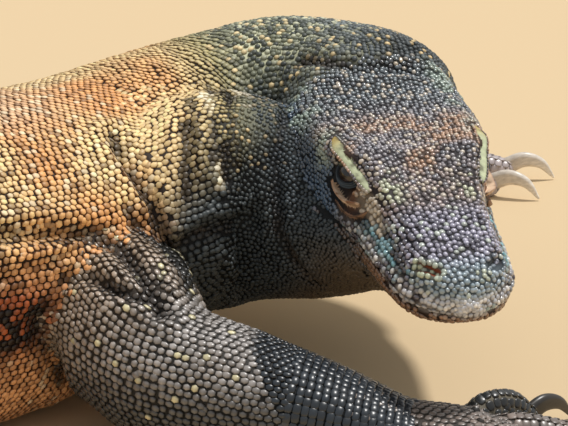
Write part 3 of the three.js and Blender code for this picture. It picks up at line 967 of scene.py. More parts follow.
def neck_paint(paint: Paint, points: Array, along: Array, grain: Array) -> None:
    """Lays the neck's markings: gold at its base, olive, pale nape with dark beads, dark below.

    The dark below is partly the neck's own charcoal and partly painted shade; the dark strokes
    beside the pale stripe and in the creases are painted shadow.

    Args:
        paint: What is laid over.
        points: Places in millimetres.
        along: Distance from the snout.
        grain: One random number each.
    """
    x, y, z = points.T
    across = x - 0.45 * np.minimum(y, 0)
    here = fall(along, 430, 520)
    toward_head = ease(across, 338, 386) * here
    paint.over(toward_head, HIDE.olive_shade, HIDE.olive)
    nape = ease(across, 372, 400) * ease(z, 140, 160) * here
    paint.over(nape, HIDE.nape_skin, HIDE.nape_bead, rim="#5c6053")
    paint.crowns(nape * ease(across, 420, 470) * 0.8, HIDE.nape_bead_blue)
    paint.crowns(nape * (grain < 0.36) * 0.85, "#3d4442")
    paint.crowns(nape * (grain > 0.74) * 0.85, "#cfd0b2")
    # Painted shade, partly the neck's own charcoal: the lower neck and throat darken, the edge
    # rising toward the head.
    lift = 0.42 * np.maximum(x - 296, 0)
    shade = fall(z - lift, 104, 150) * ease(x, 276, 318) * ease(-y, -60, 10)
    paint.over(shade, HIDE.charcoal_shade, HIDE.charcoal)
    worn = strokes(points, WORN_STRIPE)
    paint.over(ease(worn, 0.3, 0.6) * patches(points, 12, 23, 0.8, 0.1), "#b3a27c", "#fff3d6",
               rim="#d9c8a0")
    # Painted shadow along the creases beside the pale stripe.
    beside = strokes(points, CREASE_SHADOW_STROKES)
    paint.over(0.8 * ease(beside, 0.3, 0.7) * patches(points, 9, 25, 0.75, 0.1), "#1d160d",
               "#4a4028", rim="#241b10")
    ember = np.clip(bell(z - 80, 22) * ease(-y, 80, 96) * bell(x - 196, 34) * 1.6, 0, 1)
    paint.over(ember, HIDE.ember_shade, HIDE.ember)
    paint.crowns(ember * patches(points, 9, 21, 0.5, 0.05), HIDE.ember_shade)
    paint.crowns((grain > 0.90) * toward_head * ease(z, 120, 150) * 0.6, HIDE.gold)
    darken_creases(paint, points)


@dataclass
class HeadMarks:
    """The head's markings, laid in layers over one paint.

    `back`, `side` and `high` are in head lengths, with both sides of the head alike; `spot` is
    the place in millimetres along the head's own axes, with the sides apart.
    """

    points: Array
    grain: Array
    back: Array
    side: Array
    high: Array
    spot: Array
    paint: Paint

    @classmethod
    def at(cls, points: Array, grain: Array) -> "HeadMarks":
        """The marks' starting state: one grey-brown over the whole head."""
        back, side, high = HEAD.folded(points).T
        paint = Paint.plain(len(points), HIDE.crown_shade, HIDE.crown)
        return cls(points, grain, back, side, high, HEAD.local(points) * HEAD.length, paint)

    def blots(self, size: float, seed: int, share: float, soft: float = 0.08) -> Array:
        """Blotches over the head, as `patches` makes them."""
        return patches(self.points, size, seed, share, soft)

    def crown(self) -> None:
        """Tan blotches on the crown, a warm bridge, a blue-grey snout and a dark nape."""
        back, paint = self.back, self.paint
        tan = self.blots(24, 31, 0.42, 0.12) * ease(back, 0.40, 0.52) * fall(back, 0.68, 0.8)
        paint.over(0.85 * tan, "#4d3a2e", HIDE.crown_tan, rim="#54402f")
        bridge = fall(back, 0.38, 0.5) * ease(back, 0.26, 0.34)
        paint.over(bridge * 0.7, "#2e2625", "#a08a80", rim="#332a28")
        paint.over(fall(back, 0.26, 0.36), HIDE.snout_shade, HIDE.snout)
        paint.over(ease(back, 0.70, 0.88) * 0.9, "#15191b", "#6b767c", rim="#1b2022")

    def single_scales(self) -> None:
        """Light and dark single scales on the crown and on the snout."""
        grain, paint = self.grain, self.paint
        on_top = ease(self.back, 0.26, 0.4)
        paint.crowns((grain > 0.84) * on_top * 0.75, "#cfc2b0")
        paint.crowns((grain > 0.62) * (grain < 0.72) * on_top * 0.7, "#6a6f7a")
        paint.crowns((grain < 0.20) * on_top * 0.75, "#3a363c")
        paint.crowns((grain > 0.90) * (1 - on_top) * 0.8, HIDE.pale_spot)
        paint.crowns((grain < 0.36) * (1 - on_top) * 0.75, "#4a4857")

    def snout_tip(self) -> None:
        """The pale blue-grey tip, and mint flecks on the bridge before the eyes."""
        front = fall(self.back, 0.05, 0.13)
        self.paint.over(front, HIDE.tip_shade, HIDE.tip)
        self.paint.crowns(front * self.blots(11, 45, 0.2, 0.06) * 0.7, "#c3c9a8")
        self.paint.crowns(front * (self.grain < 0.3) * 0.7, "#6d7f88")
        mint = self.blots(8, 47, 0.45, 0.05) * bell(self.back - 0.40, 0.06)
        self.paint.crowns(1.3 * (mint * bell(self.side - 0.115, 0.03)), "#c9cdb0")

    def flanks(self) -> None:
        """The dark side of the snout with teal blotches, the blue cheek and dull temple.

        The snout side's near black and the cheek's dark blue are partly their own colour and partly
        painted shade.
        """
        back, side, high, paint = self.back, self.side, self.high, self.paint
        flank = ease(side, 0.120, 0.150) * fall(high, 0.085, 0.115)
        flank = flank * fall(back, 0.42, 0.6)
        teal = flank * self.blots(9, 41, 0.5, 0.05) * ease(back, 0.05, 0.12)
        # Partly painted shade: the snout's side goes near black under its teal blotches.
        paint.over(flank * ease(back, 0.05, 0.12), HIDE.near_black, "#34373e")
        paint.over(teal * fall(back, 0.34, 0.42), "#3f5960", HIDE.teal, rim="#4c6870")
        # Partly painted shade: the cheek below the eye turns dark blue.
        cheek = ease(side, 0.185, 0.215) * fall(high, 0.13, 0.165) * ease(back, 0.38, 0.52)
        paint.over(cheek, HIDE.cheek_shade, HIDE.cheek)
        temple = bell(back - 0.78, 0.10) * ease(side, 0.2, 0.24)
        paint.over(temple * 0.8, "#16191b", "#3d434a")
        behind = ease(back, 0.74, 0.86) * ease(side, 0.14, 0.2)
        paint.over(behind * self.blots(10, 43, 0.42), "#2f3835", "#93a398")
        edge = bell(back - 0.655, 0.05) * bell(side - 0.215, 0.035) * bell(high - 0.15, 0.05)
        paint.over(np.clip(1.2 * edge, 0, 1) * self.blots(6, 44, 0.6), "#3f4844", "#aebba8")

    def lips(self) -> None:
        """The pale mottled lip and the brown chin, darker below and behind."""
        back, paint = self.back, self.paint
        above = self.high - mouth_height(back)
        rim = fall(above, 0.035, 0.06) * fall(back, 0.42, 0.58)
        paint.over(rim * (0.95 - 0.2 * ease(back, 0.25, 0.4)), "#857f7b", HIDE.lip, rim="#8a8480")
        paint.over(rim * self.blots(6, 49, 0.42, 0.05) * ease(back, 0.02, 0.07), "#2a2122",
                   "#4c444e")
        paint.crowns(rim * self.blots(9, 51, 0.3, 0.05) * 0.8, "#8aa7ab")
        paint.crowns(rim * (self.grain > 0.8) * 0.8, "#e6e2dc")
        chin = fall(above, -0.012, -0.002)
        paint.over(chin, "#2c1f18", "#8a6549", rim="#3c2a1f")
        paint.over(fall(above, -0.07, -0.04), "#1d1a18", "#544a40")
        paint.over(chin * ease(back, 0.3, 0.45) * 0.85, "#15120f", "#3d3a38")

    def details(self) -> None:
        """The peach corner of the eye, the pale wedge, the teal patch and the nostrils."""
        paint = self.paint
        corner = bell(self.back - 0.475, 0.03) * bell(self.side - 0.19, 0.03)
        paint.over(corner * bell(self.high - 0.10, 0.035) * 1.4, "#6b4a35", HIDE.peach,
                   rim="#5a3d2c")
        wedge = stroke(self.spot, head_path(WEDGE), 7.0) * ease(self.side, 0.14, 0.155)
        paint.over(ease(wedge, 0.25, 0.55), "#7f7364", "#cfc2ae", rim="#948877")
        paint.crowns(ease(wedge, 0.25, 0.55) * self.blots(5, 53, 0.35), "#6d6459")
        below = stroke(self.spot, head_path(TEAL_PATCH), 6.0) * self.blots(6, 55, 0.5)
        paint.over(ease(below, 0.25, 0.5) * ease(self.side, 0.13, 0.15), "#3d5a64", "#86aeb9",
                   rim="#4d6d78")
        slit = stroke(self.spot, head_path(NOSTRIL_SLIT), 5.0)
        pale = 0.6 + 0.4 * self.blots(9, 41, 0.5, 0.05)
        paint.over(ease(slit, 0.2, 0.5) * pale, "#5a6058", "#b7c0a4", rim="#6d7266")
        paint.over(ease(slit, 0.66, 0.86), "#7a3412", "#a86432", rim="#7a3a18")

    def laid(self) -> Paint:
        """The head's paint with every layer, in order."""
        for layer in (self.crown, self.single_scales, self.snout_tip, self.flanks, self.lips,
                      self.details):
            layer()
        return self.paint


def throat_paint(at: Spots) -> Paint:
    """The throat: charcoal, brown toward the chin, and the neck's own colours on its top.

    The charcoal is partly the throat's own colour and partly painted shade.

    Args:
        at: Places to paint.

    Returns:
        The three colours at each place.
    """
    points = at.points
    paint = Paint.plain(len(points), HIDE.bare, HIDE.gold, rim=HIDE.gold_shade)
    neck_paint(paint, points, np.full(len(points), 300.0), at.grain)
    brown = ease(points[:, 0], 372, 400) * fall(points[:, 2], 86, 112)
    paint.over(brown * 0.85, "#150f09", HIDE.gular)
    blue = ease(points[:, 0], 362, 380) * ease(points[:, 2], 96, 120)
    paint.over(blue * 0.6, "#0e1418", "#3f4b55")
    return paint


def from_wrist(points: Array, foot: FootPlan) -> Array:
    """How far places lie from a foot's wrist."""
    return size_of(points - ORIGIN_SHIFT - np.array(foot.wrist))


def arm_paint(at: Spots) -> Paint:
    """A foreleg: tan at the shoulder, grey-brown with single pale scales, dark at the wrist.

    The dark at the wrist is painted shadow of the head; painted shade also darkens the
    underside, the upper arm's top next to the neck and the creases.

    Args:
        at: Places to paint.

    Returns:
        The three colours at each place.
    """
    points = at.points
    paint = Paint.plain(len(points), HIDE.arm_shade, HIDE.arm)
    paint.over(0.6 * patches(points, 16, 61, 0.4, 0.12), "#37332f", "#827b75", rim="#4a4540")
    paint.over(fall(at.along, 30, 105), "#40301f", HIDE.shoulder)
    # Painted shade: the arm darkens toward its underside, near the floor.
    under = fall(points[:, 2], 32, 66)
    paint.over(under * 0.95, "#0e0f10", "#3a3d40")
    # Painted shadow on the upper arm's top where it lies high and forward, next to the neck and
    # throat.
    inner = ease(points[:, 0] + 0.3 * (points[:, 1] + 110), 284, 297) * ease(points[:, 2], 78, 90)
    paint.over(inner * ease(points[:, 1], -150, -128) * 0.95, HIDE.charcoal_shade, "#1b2122")
    # Painted shadow of the head: both wrists darken, the edge rising with height.
    away = np.min([from_wrist(points, foot) for foot in FEET[:2]], axis=0)
    raised = 0.75 * np.maximum(points[:, 2] - 34, -12)
    dark = fall(away - raised + 6 * (cloud(points, 14, 63) - 0.5), 60, 65)
    paint.crowns((at.grain > 0.965) * (1 - dark), HIDE.arm_pale)
    paint.over(dark, HIDE.wrist_shade, HIDE.wrist)
    darken_creases(paint, points)
    return paint


def leg_paint(at: Spots) -> Paint:
    """A hind leg: the trunk's dull tan, greyer down the leg, with single pale scales.

    Args:
        at: Places to paint.

    Returns:
        The three colours at each place.
    """
    points = at.points
    paint = Paint.plain(len(points), HIDE.rear_shade, HIDE.rear)
    paint.over(0.6 * patches(points, 22, 71, 0.45, 0.12), "#37332f", "#7d7468")
    paint.over(fall(points[:, 2], 30, 90), HIDE.arm_shade, HIDE.arm)
    paint.crowns(at.grain > 0.95, HIDE.arm_pale)
    return paint


def foot_paint(at: Spots) -> Paint:
    """A hand, foot or toe: grey-brown above, darker between the scutes.

    Next to the right wrist it is dark with painted shadow of the head.

    Args:
        at: Places to paint.

    Returns:
        The three colours at each place.
    """
    points = at.points
    paint = Paint.plain(len(points), "#3a342e", HIDE.hand)
    paint.over(0.6 * patches(points, 14, 81, 0.45, 0.12), "#2b2b2b", "#6f6a66")
    # Painted shadow of the head on the right hand next to its wrist.
    paint.over(fall(from_wrist(points, FEET[0]), 10, 16), HIDE.wrist_shade, HIDE.wrist)
    far = ease(points[:, 1], 120, 180) * ease(points[:, 0], 420, 500)
    paint.over(far, "#6f655f", "#c0b5b6", rim="#857b76")
    return paint


def shadowed_toe_paint(at: Spots) -> Paint:
    """The right hand's first digit: scutes near black with painted shadow, thin pale lines between.
    """
    points = at.points
    paint = Paint.plain(len(points), "#6d675a", "#1b1f21", rim="#4a463e")
    paint.over(0.5 * patches(points, 10, 85, 0.4, 0.12), "#6d675a", "#2c3135", rim="#3c3834")
    return paint


PAINTERS = (("toe_hand_right_1", shadowed_toe_paint), ("spine", spine_paint), ("throat", throat_paint),
            ("arm", arm_paint), ("thigh", leg_paint), ("shank", leg_paint), ("", foot_paint))


def paint_of(tube: str) -> Callable[[Spots], Paint]:
    """The painter of a tube, by the start of its name."""
    return next(painter for start, painter in PAINTERS if tube.startswith(start))


# ---- making meshes
def add_object(name: str, data: bpy.types.ID) -> Object:
    """Puts a mesh, lamp or camera in the scene."""
    obj = bpy.data.objects.new(name, data)
    bpy.context.scene.collection.objects.link(obj)
    return obj


def mesh_object(name: str, points: Array, faces: list, smooth: bool = True) -> Object:
    """Makes a mesh object in the scene.

    Args:
        name: The object's name.
        points: Vertices in millimetres.
        faces: Arrays of vertex numbers, each with one row per face of one size.
        smooth: Whether faces are shaded smooth.

    Returns:
        The object, at the origin, in metres.
    """
    sizes = np.concatenate([np.full(len(part), part.shape[1]) for part in faces])
    corners = np.concatenate([part.ravel() for part in faces])
    mesh = bpy.data.meshes.new(name)
    mesh.vertices.add(len(points))
    write_points(mesh, points)
    mesh.loops.add(len(corners))
    mesh.loops.foreach_set("vertex_index", corners.astype(np.int32))
    mesh.polygons.add(len(sizes))
    starts = np.concatenate([[0], np.cumsum(sizes)[:-1]])
    mesh.polygons.foreach_set("loop_start", starts.astype(np.int32))
    mesh.polygons.foreach_set("loop_total", sizes.astype(np.int32))
    mesh.update(calc_edges=True)
    mesh.polygons.foreach_set("use_smooth", np.full(len(sizes), smooth))
    return add_object(name, mesh)


def read_array(items: bpy.types.bpy_prop_collection, name: str, width: int,
               kind: type = np.float32) -> Array:
    """One property of every item, as rows of the given width."""
    flat = np.empty(len(items) * width, kind)
    items.foreach_get(name, flat)
    return flat.reshape(-1, width)


def read_points(mesh: Mesh) -> Array:
    """The mesh's vertices, in millimetres."""
    return read_array(mesh.vertices, "co", 3).astype(float) / MM


def write_points(mesh: Mesh, points: Array) -> None:
    """Moves the mesh's vertices to places in millimetres."""
    mesh.vertices.foreach_set("co", (points * MM).astype(np.float32).ravel())


def set_colours(mesh: Mesh, colours: Array) -> None:
    """Stores linear colours on the vertices under the name the materials read."""
    known = mesh.attributes.get("Markings")
    layer = known or mesh.attributes.new("Markings", "FLOAT_COLOR", "POINT")
    full = np.concatenate([colours, np.ones((len(colours), 1))], axis=1)
    layer.data.foreach_set("color", full.astype(np.float32).ravel())
    mesh.color_attributes.active_color = mesh.color_attributes["Markings"]


def tube_faces(count: int, sides: int) -> list:
    """The faces of a closed tube: quads along it and a fan of triangles over each end.

    The two end centres follow the ring points in the vertex list.

    Args:
        count: How many rings.
        sides: Points round each.

    Returns:
        Two arrays of vertex numbers.
    """
    i = np.arange(count - 1)[:, None] * sides
    j = np.arange(sides)[None, :]
    k = (j + 1) % sides
    quads = np.stack([i + j, i + sides + j, i + sides + k, i + k], axis=-1).reshape(-1, 4)
    edge = np.arange(sides)
    after = (edge + 1) % sides
    last = (count - 1) * sides
    first_fan = np.stack([np.full(sides, count * sides), edge, after], axis=-1)
    last_fan = np.stack([np.full(sides, count * sides + 1), last + after, last + edge], axis=-1)
    return [quads, np.concatenate([first_fan, last_fan])]


def facing_out(points: Array, faces: list) -> list:
    """The faces, turned so that they point outward: the volume they enclose is positive.

    Args:
        points: The vertices.
        faces: Arrays of vertex numbers.

    Returns:
        The same arrays, or all of them reversed.
    """
    total = 0.0
    for part in faces:
        a = points[part[:, 0]]
        for step in range(1, part.shape[1] - 1):
            total += np.einsum("ij,ij->", a, np.cross(points[part[:, step]],
                                                      points[part[:, step + 1]]))
    return faces if total > 0 else [part[:, ::-1] for part in faces]


def solid(name: str, points: Array, faces: list, colours: Array) -> Object:
    """A closed mesh with its faces outward and a colour on each vertex."""
    obj = mesh_object(name, points, facing_out(points, faces))
    set_colours(obj.data, colours)
    return obj


def hide_part(name: str, points: Array, faces: list, colours: Array) -> Object:
    """A solid to join to the skin.

    Every vertex is marked with one; the vertices that the join adds hold nought.
    """
    obj = solid(name, points, faces, colours)
    mark = obj.data.attributes.new("source", "FLOAT", "POINT")
    mark.data.foreach_set("value", np.ones(len(points), np.float32))
    return obj


def hide_tube(name: str, rings: Array, tone: Array) -> Object:
    """A closed tube to join to the skin, with one colour per ring point."""
    points = np.concatenate([rings.reshape(-1, 3), rings[[0, -1]].mean(axis=1)])
    return hide_part(name, points, tube_faces(*rings.shape[:2]),
                     np.concatenate([tone, tone[[0, -1]]]))


def tube_object(tube: Tube, rng: np.random.Generator) -> Object:
    """A tube of hide as a coloured mesh.

    Args:
        tube: The tube.
        rng: Source of the uneven tone.

    Returns:
        The mesh object.
    """
    count, sides = tube.rings.shape[:2]
    points = tube.rings.reshape(-1, 3)
    turn = np.tile(np.arange(sides) / sides, count)
    grain = rng.random(len(points)) * 0.6 + 0.2
    paint = paint_of(tube.name)(Spots(points, np.repeat(tube.reach, sides), turn, grain))
    return hide_tube(tube.name, tube.rings, paint.skin)


# ---- eyelids
@dataclass(frozen=True)
class EyePlan:
    """One eye: its ball, the lids round it and the smooth fold above it."""

    side: int
    opening: tuple = (50.0, 31.0)
    reach: tuple = (78.0, 66.0)
    lid_thickness: float = 1.3
    look: tuple = (0.40, 0.80, 0.52)
    bulge: float = 0.055
    gap: float = 0.15

    def centre(self) -> Array:
        """The middle of the ball, in millimetres."""
        return HEAD.point(EYE_AT[0], EYE_AT[1] * self.side, EYE_AT[2])

    def axes(self) -> tuple:
        """Unit vectors out of the eye, toward the snout across it, and up across it."""
        ahead, side, above = HEAD.axes()
        forward, outward, upward = self.look
        out = unit(side * self.side * outward + above * upward + ahead * forward)
        fore = unit(ahead - out * (ahead @ out))
        return out, fore, unit(above - out * (above @ out) - fore * (above @ fore))

    def spot(self, fore_angle: Array, up_angle: Array, radius: Array) -> Array:
        """Places at angles from the eye's axis and a distance from the ball's middle."""
        out, fore, up = self.axes()
        a, b = np.radians(fore_angle)[..., None], np.radians(up_angle)[..., None]
        ray = unit(out * np.cos(a) * np.cos(b) + fore * np.sin(a) * np.cos(b) + up * np.sin(b))
        return self.centre() + ray * radius[..., None]

    def almond(self, psi: Array, share: Array) -> tuple:
        """The lid's two angles from the eye's axis, round it and from its opening outward."""
        fore = np.cos(psi) * (self.opening[0] + (self.reach[0] - self.opening[0]) * share)
        rise = np.abs(np.sin(psi)) ** 1.25 * np.sign(np.sin(psi))
        return fore, rise * self.opening[1] * (1 - share) + np.sin(psi) * self.reach[1] * share

    def lids(self) -> Object:
        """Both lids as one closed ring of hide with an almond opening.

        Round the ring goes psi; across it goes share, from the opening's edge out over the
        lid and back along its inner side.  The distance from the ball's middle swells to a
        rim at the opening, waves in a few folds and sinks into the socket at the outer edge.
        """
        psi = np.linspace(0, 2 * np.pi, 97)[:-1]
        p, t = np.meshgrid(psi, np.linspace(0, 1, 27), indexing="ij")
        rim = bell(t - 0.10, 0.09)
        folds = 0.45 * np.sin(2 * np.pi * (t * 2.6 + 0.1)) * ease(t, 0.15, 0.35)
        upper = ease(np.sin(p), -0.2, 0.3)
        thick = self.lid_thickness * (0.55 + 0.6 * rim) + folds * (1 - 0.6 * upper) + 0.9 * upper * t
        radius = EYE_RADIUS + thick - 3.5 * ease(t, 0.86, 1.0) - 0.6 * (t < 0.01)
        pb, tb = np.meshgrid(psi, np.linspace(1, 0, 9)[1:-1], indexing="ij")
        inner = self.spot(*self.almond(pb, tb), EYE_RADIUS - 0.9 - 2.0 * tb)
        grid = np.concatenate([self.spot(*self.almond(p, t), radius), inner], axis=1)
        rings, loop = grid.shape[:2]
        i, j = np.meshgrid(np.arange(rings), np.arange(loop), indexing="ij")
        k, m = (i + 1) % rings, (j + 1) % loop
        quads = np.stack([i * loop + j, k * loop + j, k * loop + m, i * loop + m], axis=-1)
        tone = blend(linear("#4a5661")[None, None], linear(HIDE.lid), upper)
        # Painted shade in the troughs of the lower lid's folds and along the opening's edge.
        crease = np.clip(0.6 * (folds < -0.1) * (1 - upper) + 0.9 * bell(t - 0.02, 0.05), 0, 1)
        tone = blend(tone, linear("#15181c"), crease)
        # Painted shade: the lids' inner side, against the ball, is dark brown.
        shaded_lining = np.tile(linear("#2a1d16"), (rings, inner.shape[1], 1))
        return hide_part(f"lids_{self.side}", grid.reshape(-1, 3), [quads.reshape(-1, 4)],
                         np.concatenate([tone, shaded_lining], axis=1).reshape(-1, 3))

    def build(self, finish: "Finish") -> Object:
        """The eyeball: a sphere with a slight bulge in front, dark with a brown iris.

        Args:
            finish: The wet surface.

        Returns:
            The dressed ball.
        """
        lat = np.linspace(0, np.pi, 41)
        lon = np.linspace(0, 2 * np.pi, 65)[:-1]
        a, b = np.meshgrid(lat[1:-1], lon, indexing="ij")
        out, fore, _ = self.axes()
        gaze = unit(out + 0.1 * fore)
        one = unit(fore - gaze * (fore @ gaze))
        two = np.cross(gaze, one)
        radius = EYE_RADIUS * (1 + self.bulge * bell(a, 0.62)) - self.gap
        ray = (gaze * np.cos(a)[..., None] + one * (np.sin(a) * np.cos(b))[..., None]
               + two * (np.sin(a) * np.sin(b))[..., None])
        rings = self.centre() + ray * radius[..., None]
        poles = self.centre() + np.array([gaze * (EYE_RADIUS * (1 + self.bulge) - self.gap),
                                          -gaze * EYE_RADIUS])
        angle = np.degrees(np.r_[a.ravel(), 0, np.pi])
        streak = 0.5 + 0.5 * np.sin(13 * np.r_[b.ravel(), 0, 0])
        iris = ease(angle, 17, 21) * fall(angle, 34, 44) * (0.5 + 0.5 * streak)
        tone = blend(np.tile(linear("#0d0c0e"), (len(angle), 1)), linear("#33221a"), iris)
        tone = blend(tone, linear("#040405"), fall(angle, 16, 19))
        word = "right" if self.side > 0 else "left"
        ball = solid(f"eyeball_{word}", np.concatenate([rings.reshape(-1, 3), poles]),
                     tube_faces(*rings.shape[:2]), tone)
        finish.dress(ball)
        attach(ball, BODY)
        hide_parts(f"eye_{word}")
        LOG.info("%s", ball.name)
        return ball


EYES = (EyePlan(1), EyePlan(-1))


@dataclass(frozen=True)
class Ribbon:
    """A smooth raised fold of bare skin beside the eye.

    The path holds back, right and high in head lengths and the half width in millimetres.
    Its section is an oval lying on the ball round the eye's middle; both ends taper.
    """

    path: tuple
    thickness: float
    sink: float
    rear: str
    front: str
    edge: str
    sides: int = 18
    blunt: int = 8

    def line(self, side: int, count: int = 44) -> tuple:
        """The centre line in millimetres and the half widths, for the eye of one side."""
        rows = np.array([np.r_[HEAD.point(p[0], p[1] * side, p[2]), p[3]] for p in self.path])
        knots = run_along(rows[:, :3])
        read = smooth_rows(np.linspace(0, knots[-1], count), knots, rows)
        return read[:, :3], read[:, 3]

    def beads(self, eye: EyePlan, pitch: float) -> tuple:
        """Places for small beads along both edges of the fold, and the ways along it.

        Args:
            eye: The eye it lies beside.
            pitch: The beads' spacing.

        Returns:
            The places and the ways, as two arrays.
        """
        centre, width = self.line(eye.side, 80)
        run = run_along(centre)
        at = np.arange(0.5 * pitch, run[-1], pitch)
        middle = np.stack([np.interp(at, run, centre[:, k]) for k in range(3)], axis=1)
        half = np.interp(at, run, width)[:, None]
        ahead = unit(np.gradient(middle, axis=0))
        across = unit(np.cross(middle - eye.centre(), ahead))
        ends = np.sqrt(np.maximum(1 - np.abs(2 * at / run[-1] - 1) ** self.blunt, 0.05))[:, None]
        places = [middle + across * half * ends * sign for sign in (1.05, -1.05)]
        return np.concatenate(places), np.concatenate([ahead, ahead])

    def build(self, eye: EyePlan, number: int) -> Object:
        """The fold as a closed coloured mesh, ready to join.

        Args:
            eye: The eye it lies beside.
            number: Sets its name and grain.

        Returns:
            The mesh object.
        """
        centre, width = self.line(eye.side)
        t = np.linspace(-1, 1, len(centre))
        taper = np.sqrt(np.maximum(1 - np.abs(t) ** self.blunt, 0.004))[:, None]
        out = unit(centre - eye.centre())
        ahead = unit(np.gradient(centre, axis=0))
        out = unit(out - ahead * (out * ahead).sum(axis=1, keepdims=True))
        across = np.cross(out, ahead)
        angle = np.arange(self.sides) * 2 * np.pi / self.sides
        x = np.cos(angle)[None] * width[:, None] * taper
        y = np.sin(angle)[None] * self.thickness * taper - self.sink
        rings = centre[:, None] + across[:, None] * x[..., None] + out[:, None] * y[..., None]
        tone = blend(linear(self.rear)[None], linear(self.front), ease(t, -0.9, -0.2))
        rough = cloud(rings, 3.0, 7 + number)
        tone = tone[:, None] * (0.62 + 0.6 * rough)[..., None]
        tone = blend(tone, linear(self.edge), np.abs(np.cos(angle))[None] ** 6 * 0.75
                     + 0.55 * fall(rough, 0.2, 0.34))
        return hide_tube(f"fold_{eye.side}_{number}", rings, tone.reshape(-1, 3))


# The pale wedge of small scales from the eye's front corner toward the nostril.
WEDGE = ((0.440, 0.180, 0.112), (0.395, 0.170, 0.108), (0.330, 0.160, 0.096))
# The blue-green patch under that wedge.
TEAL_PATCH = ((0.36, 0.190, 0.072), (0.30, 0.180, 0.072), (0.24, 0.168, 0.070))
RIBBONS = (
    # the pale smooth fold over the eye, yellow behind and mint in front
    Ribbon(((0.660, 0.204, 0.188, 2.0), (0.632, 0.209, 0.190, 3.2), (0.600, 0.210, 0.190, 3.8),
            (0.568, 0.203, 0.186, 3.8), (0.530, 0.191, 0.176, 3.6), (0.488, 0.181, 0.164, 3.4),
            (0.455, 0.172, 0.152, 3.0), (0.428, 0.165, 0.142, 2.6)), 1.4, 0.5, "#b39a58", "#c3cba8",
           "#4c4634"),
    # the lower lid's peach fold and the brown one under it
    Ribbon(((0.590, 0.222, 0.090, 1.8), (0.552, 0.220, 0.078, 3.8), (0.508, 0.213, 0.074, 4.8),
            (0.466, 0.202, 0.083, 4.4), (0.436, 0.190, 0.101, 2.8)), 1.2, 0.3, "#f0c7a2", "#ffdfbf",
           "#8a6248"),
    Ribbon(((0.562, 0.221, 0.052, 1.0), (0.505, 0.211, 0.040, 1.8), (0.450, 0.199, 0.050, 2.1),
            (0.412, 0.186, 0.076, 1.8), (0.396, 0.176, 0.100, 1.2)), 0.8, 0.4, "#8a6b56", "#a9876d",
           "#33241c"),
)


def near_ribbons(points: Array) -> Array:
    """Which places a bare fold covers.

    Args:
        points: Places in millimetres.

    Returns:
        One truth value per place.
    """
    covered = np.zeros(len(points), bool)
    for eye, ribbon in product(EYES, RIBBONS):
        line, width = ribbon.line(eye.side, 24)
        away = size_of(points[:, None] - line[None])
        covered |= (away < width[None] + 1.6).any(axis=1)
    return covered


# ---- the skin
def evaluated(obj: Object) -> Mesh:
    """The object's mesh with its modifiers applied, as a new mesh."""
    bpy.context.view_layer.update()
    graph = bpy.context.evaluated_depsgraph_get()
    return bpy.data.meshes.new_from_object(obj.evaluated_get(graph))


def neighbour_sums(values: Array, a: Array, b: Array) -> Array:
    """For every vertex the sum of its neighbours' rows, over edges from a to b."""
    return np.stack([np.bincount(a, column[b], len(values)) + np.bincount(b, column[a], len(values))
                     for column in values.T], axis=1)


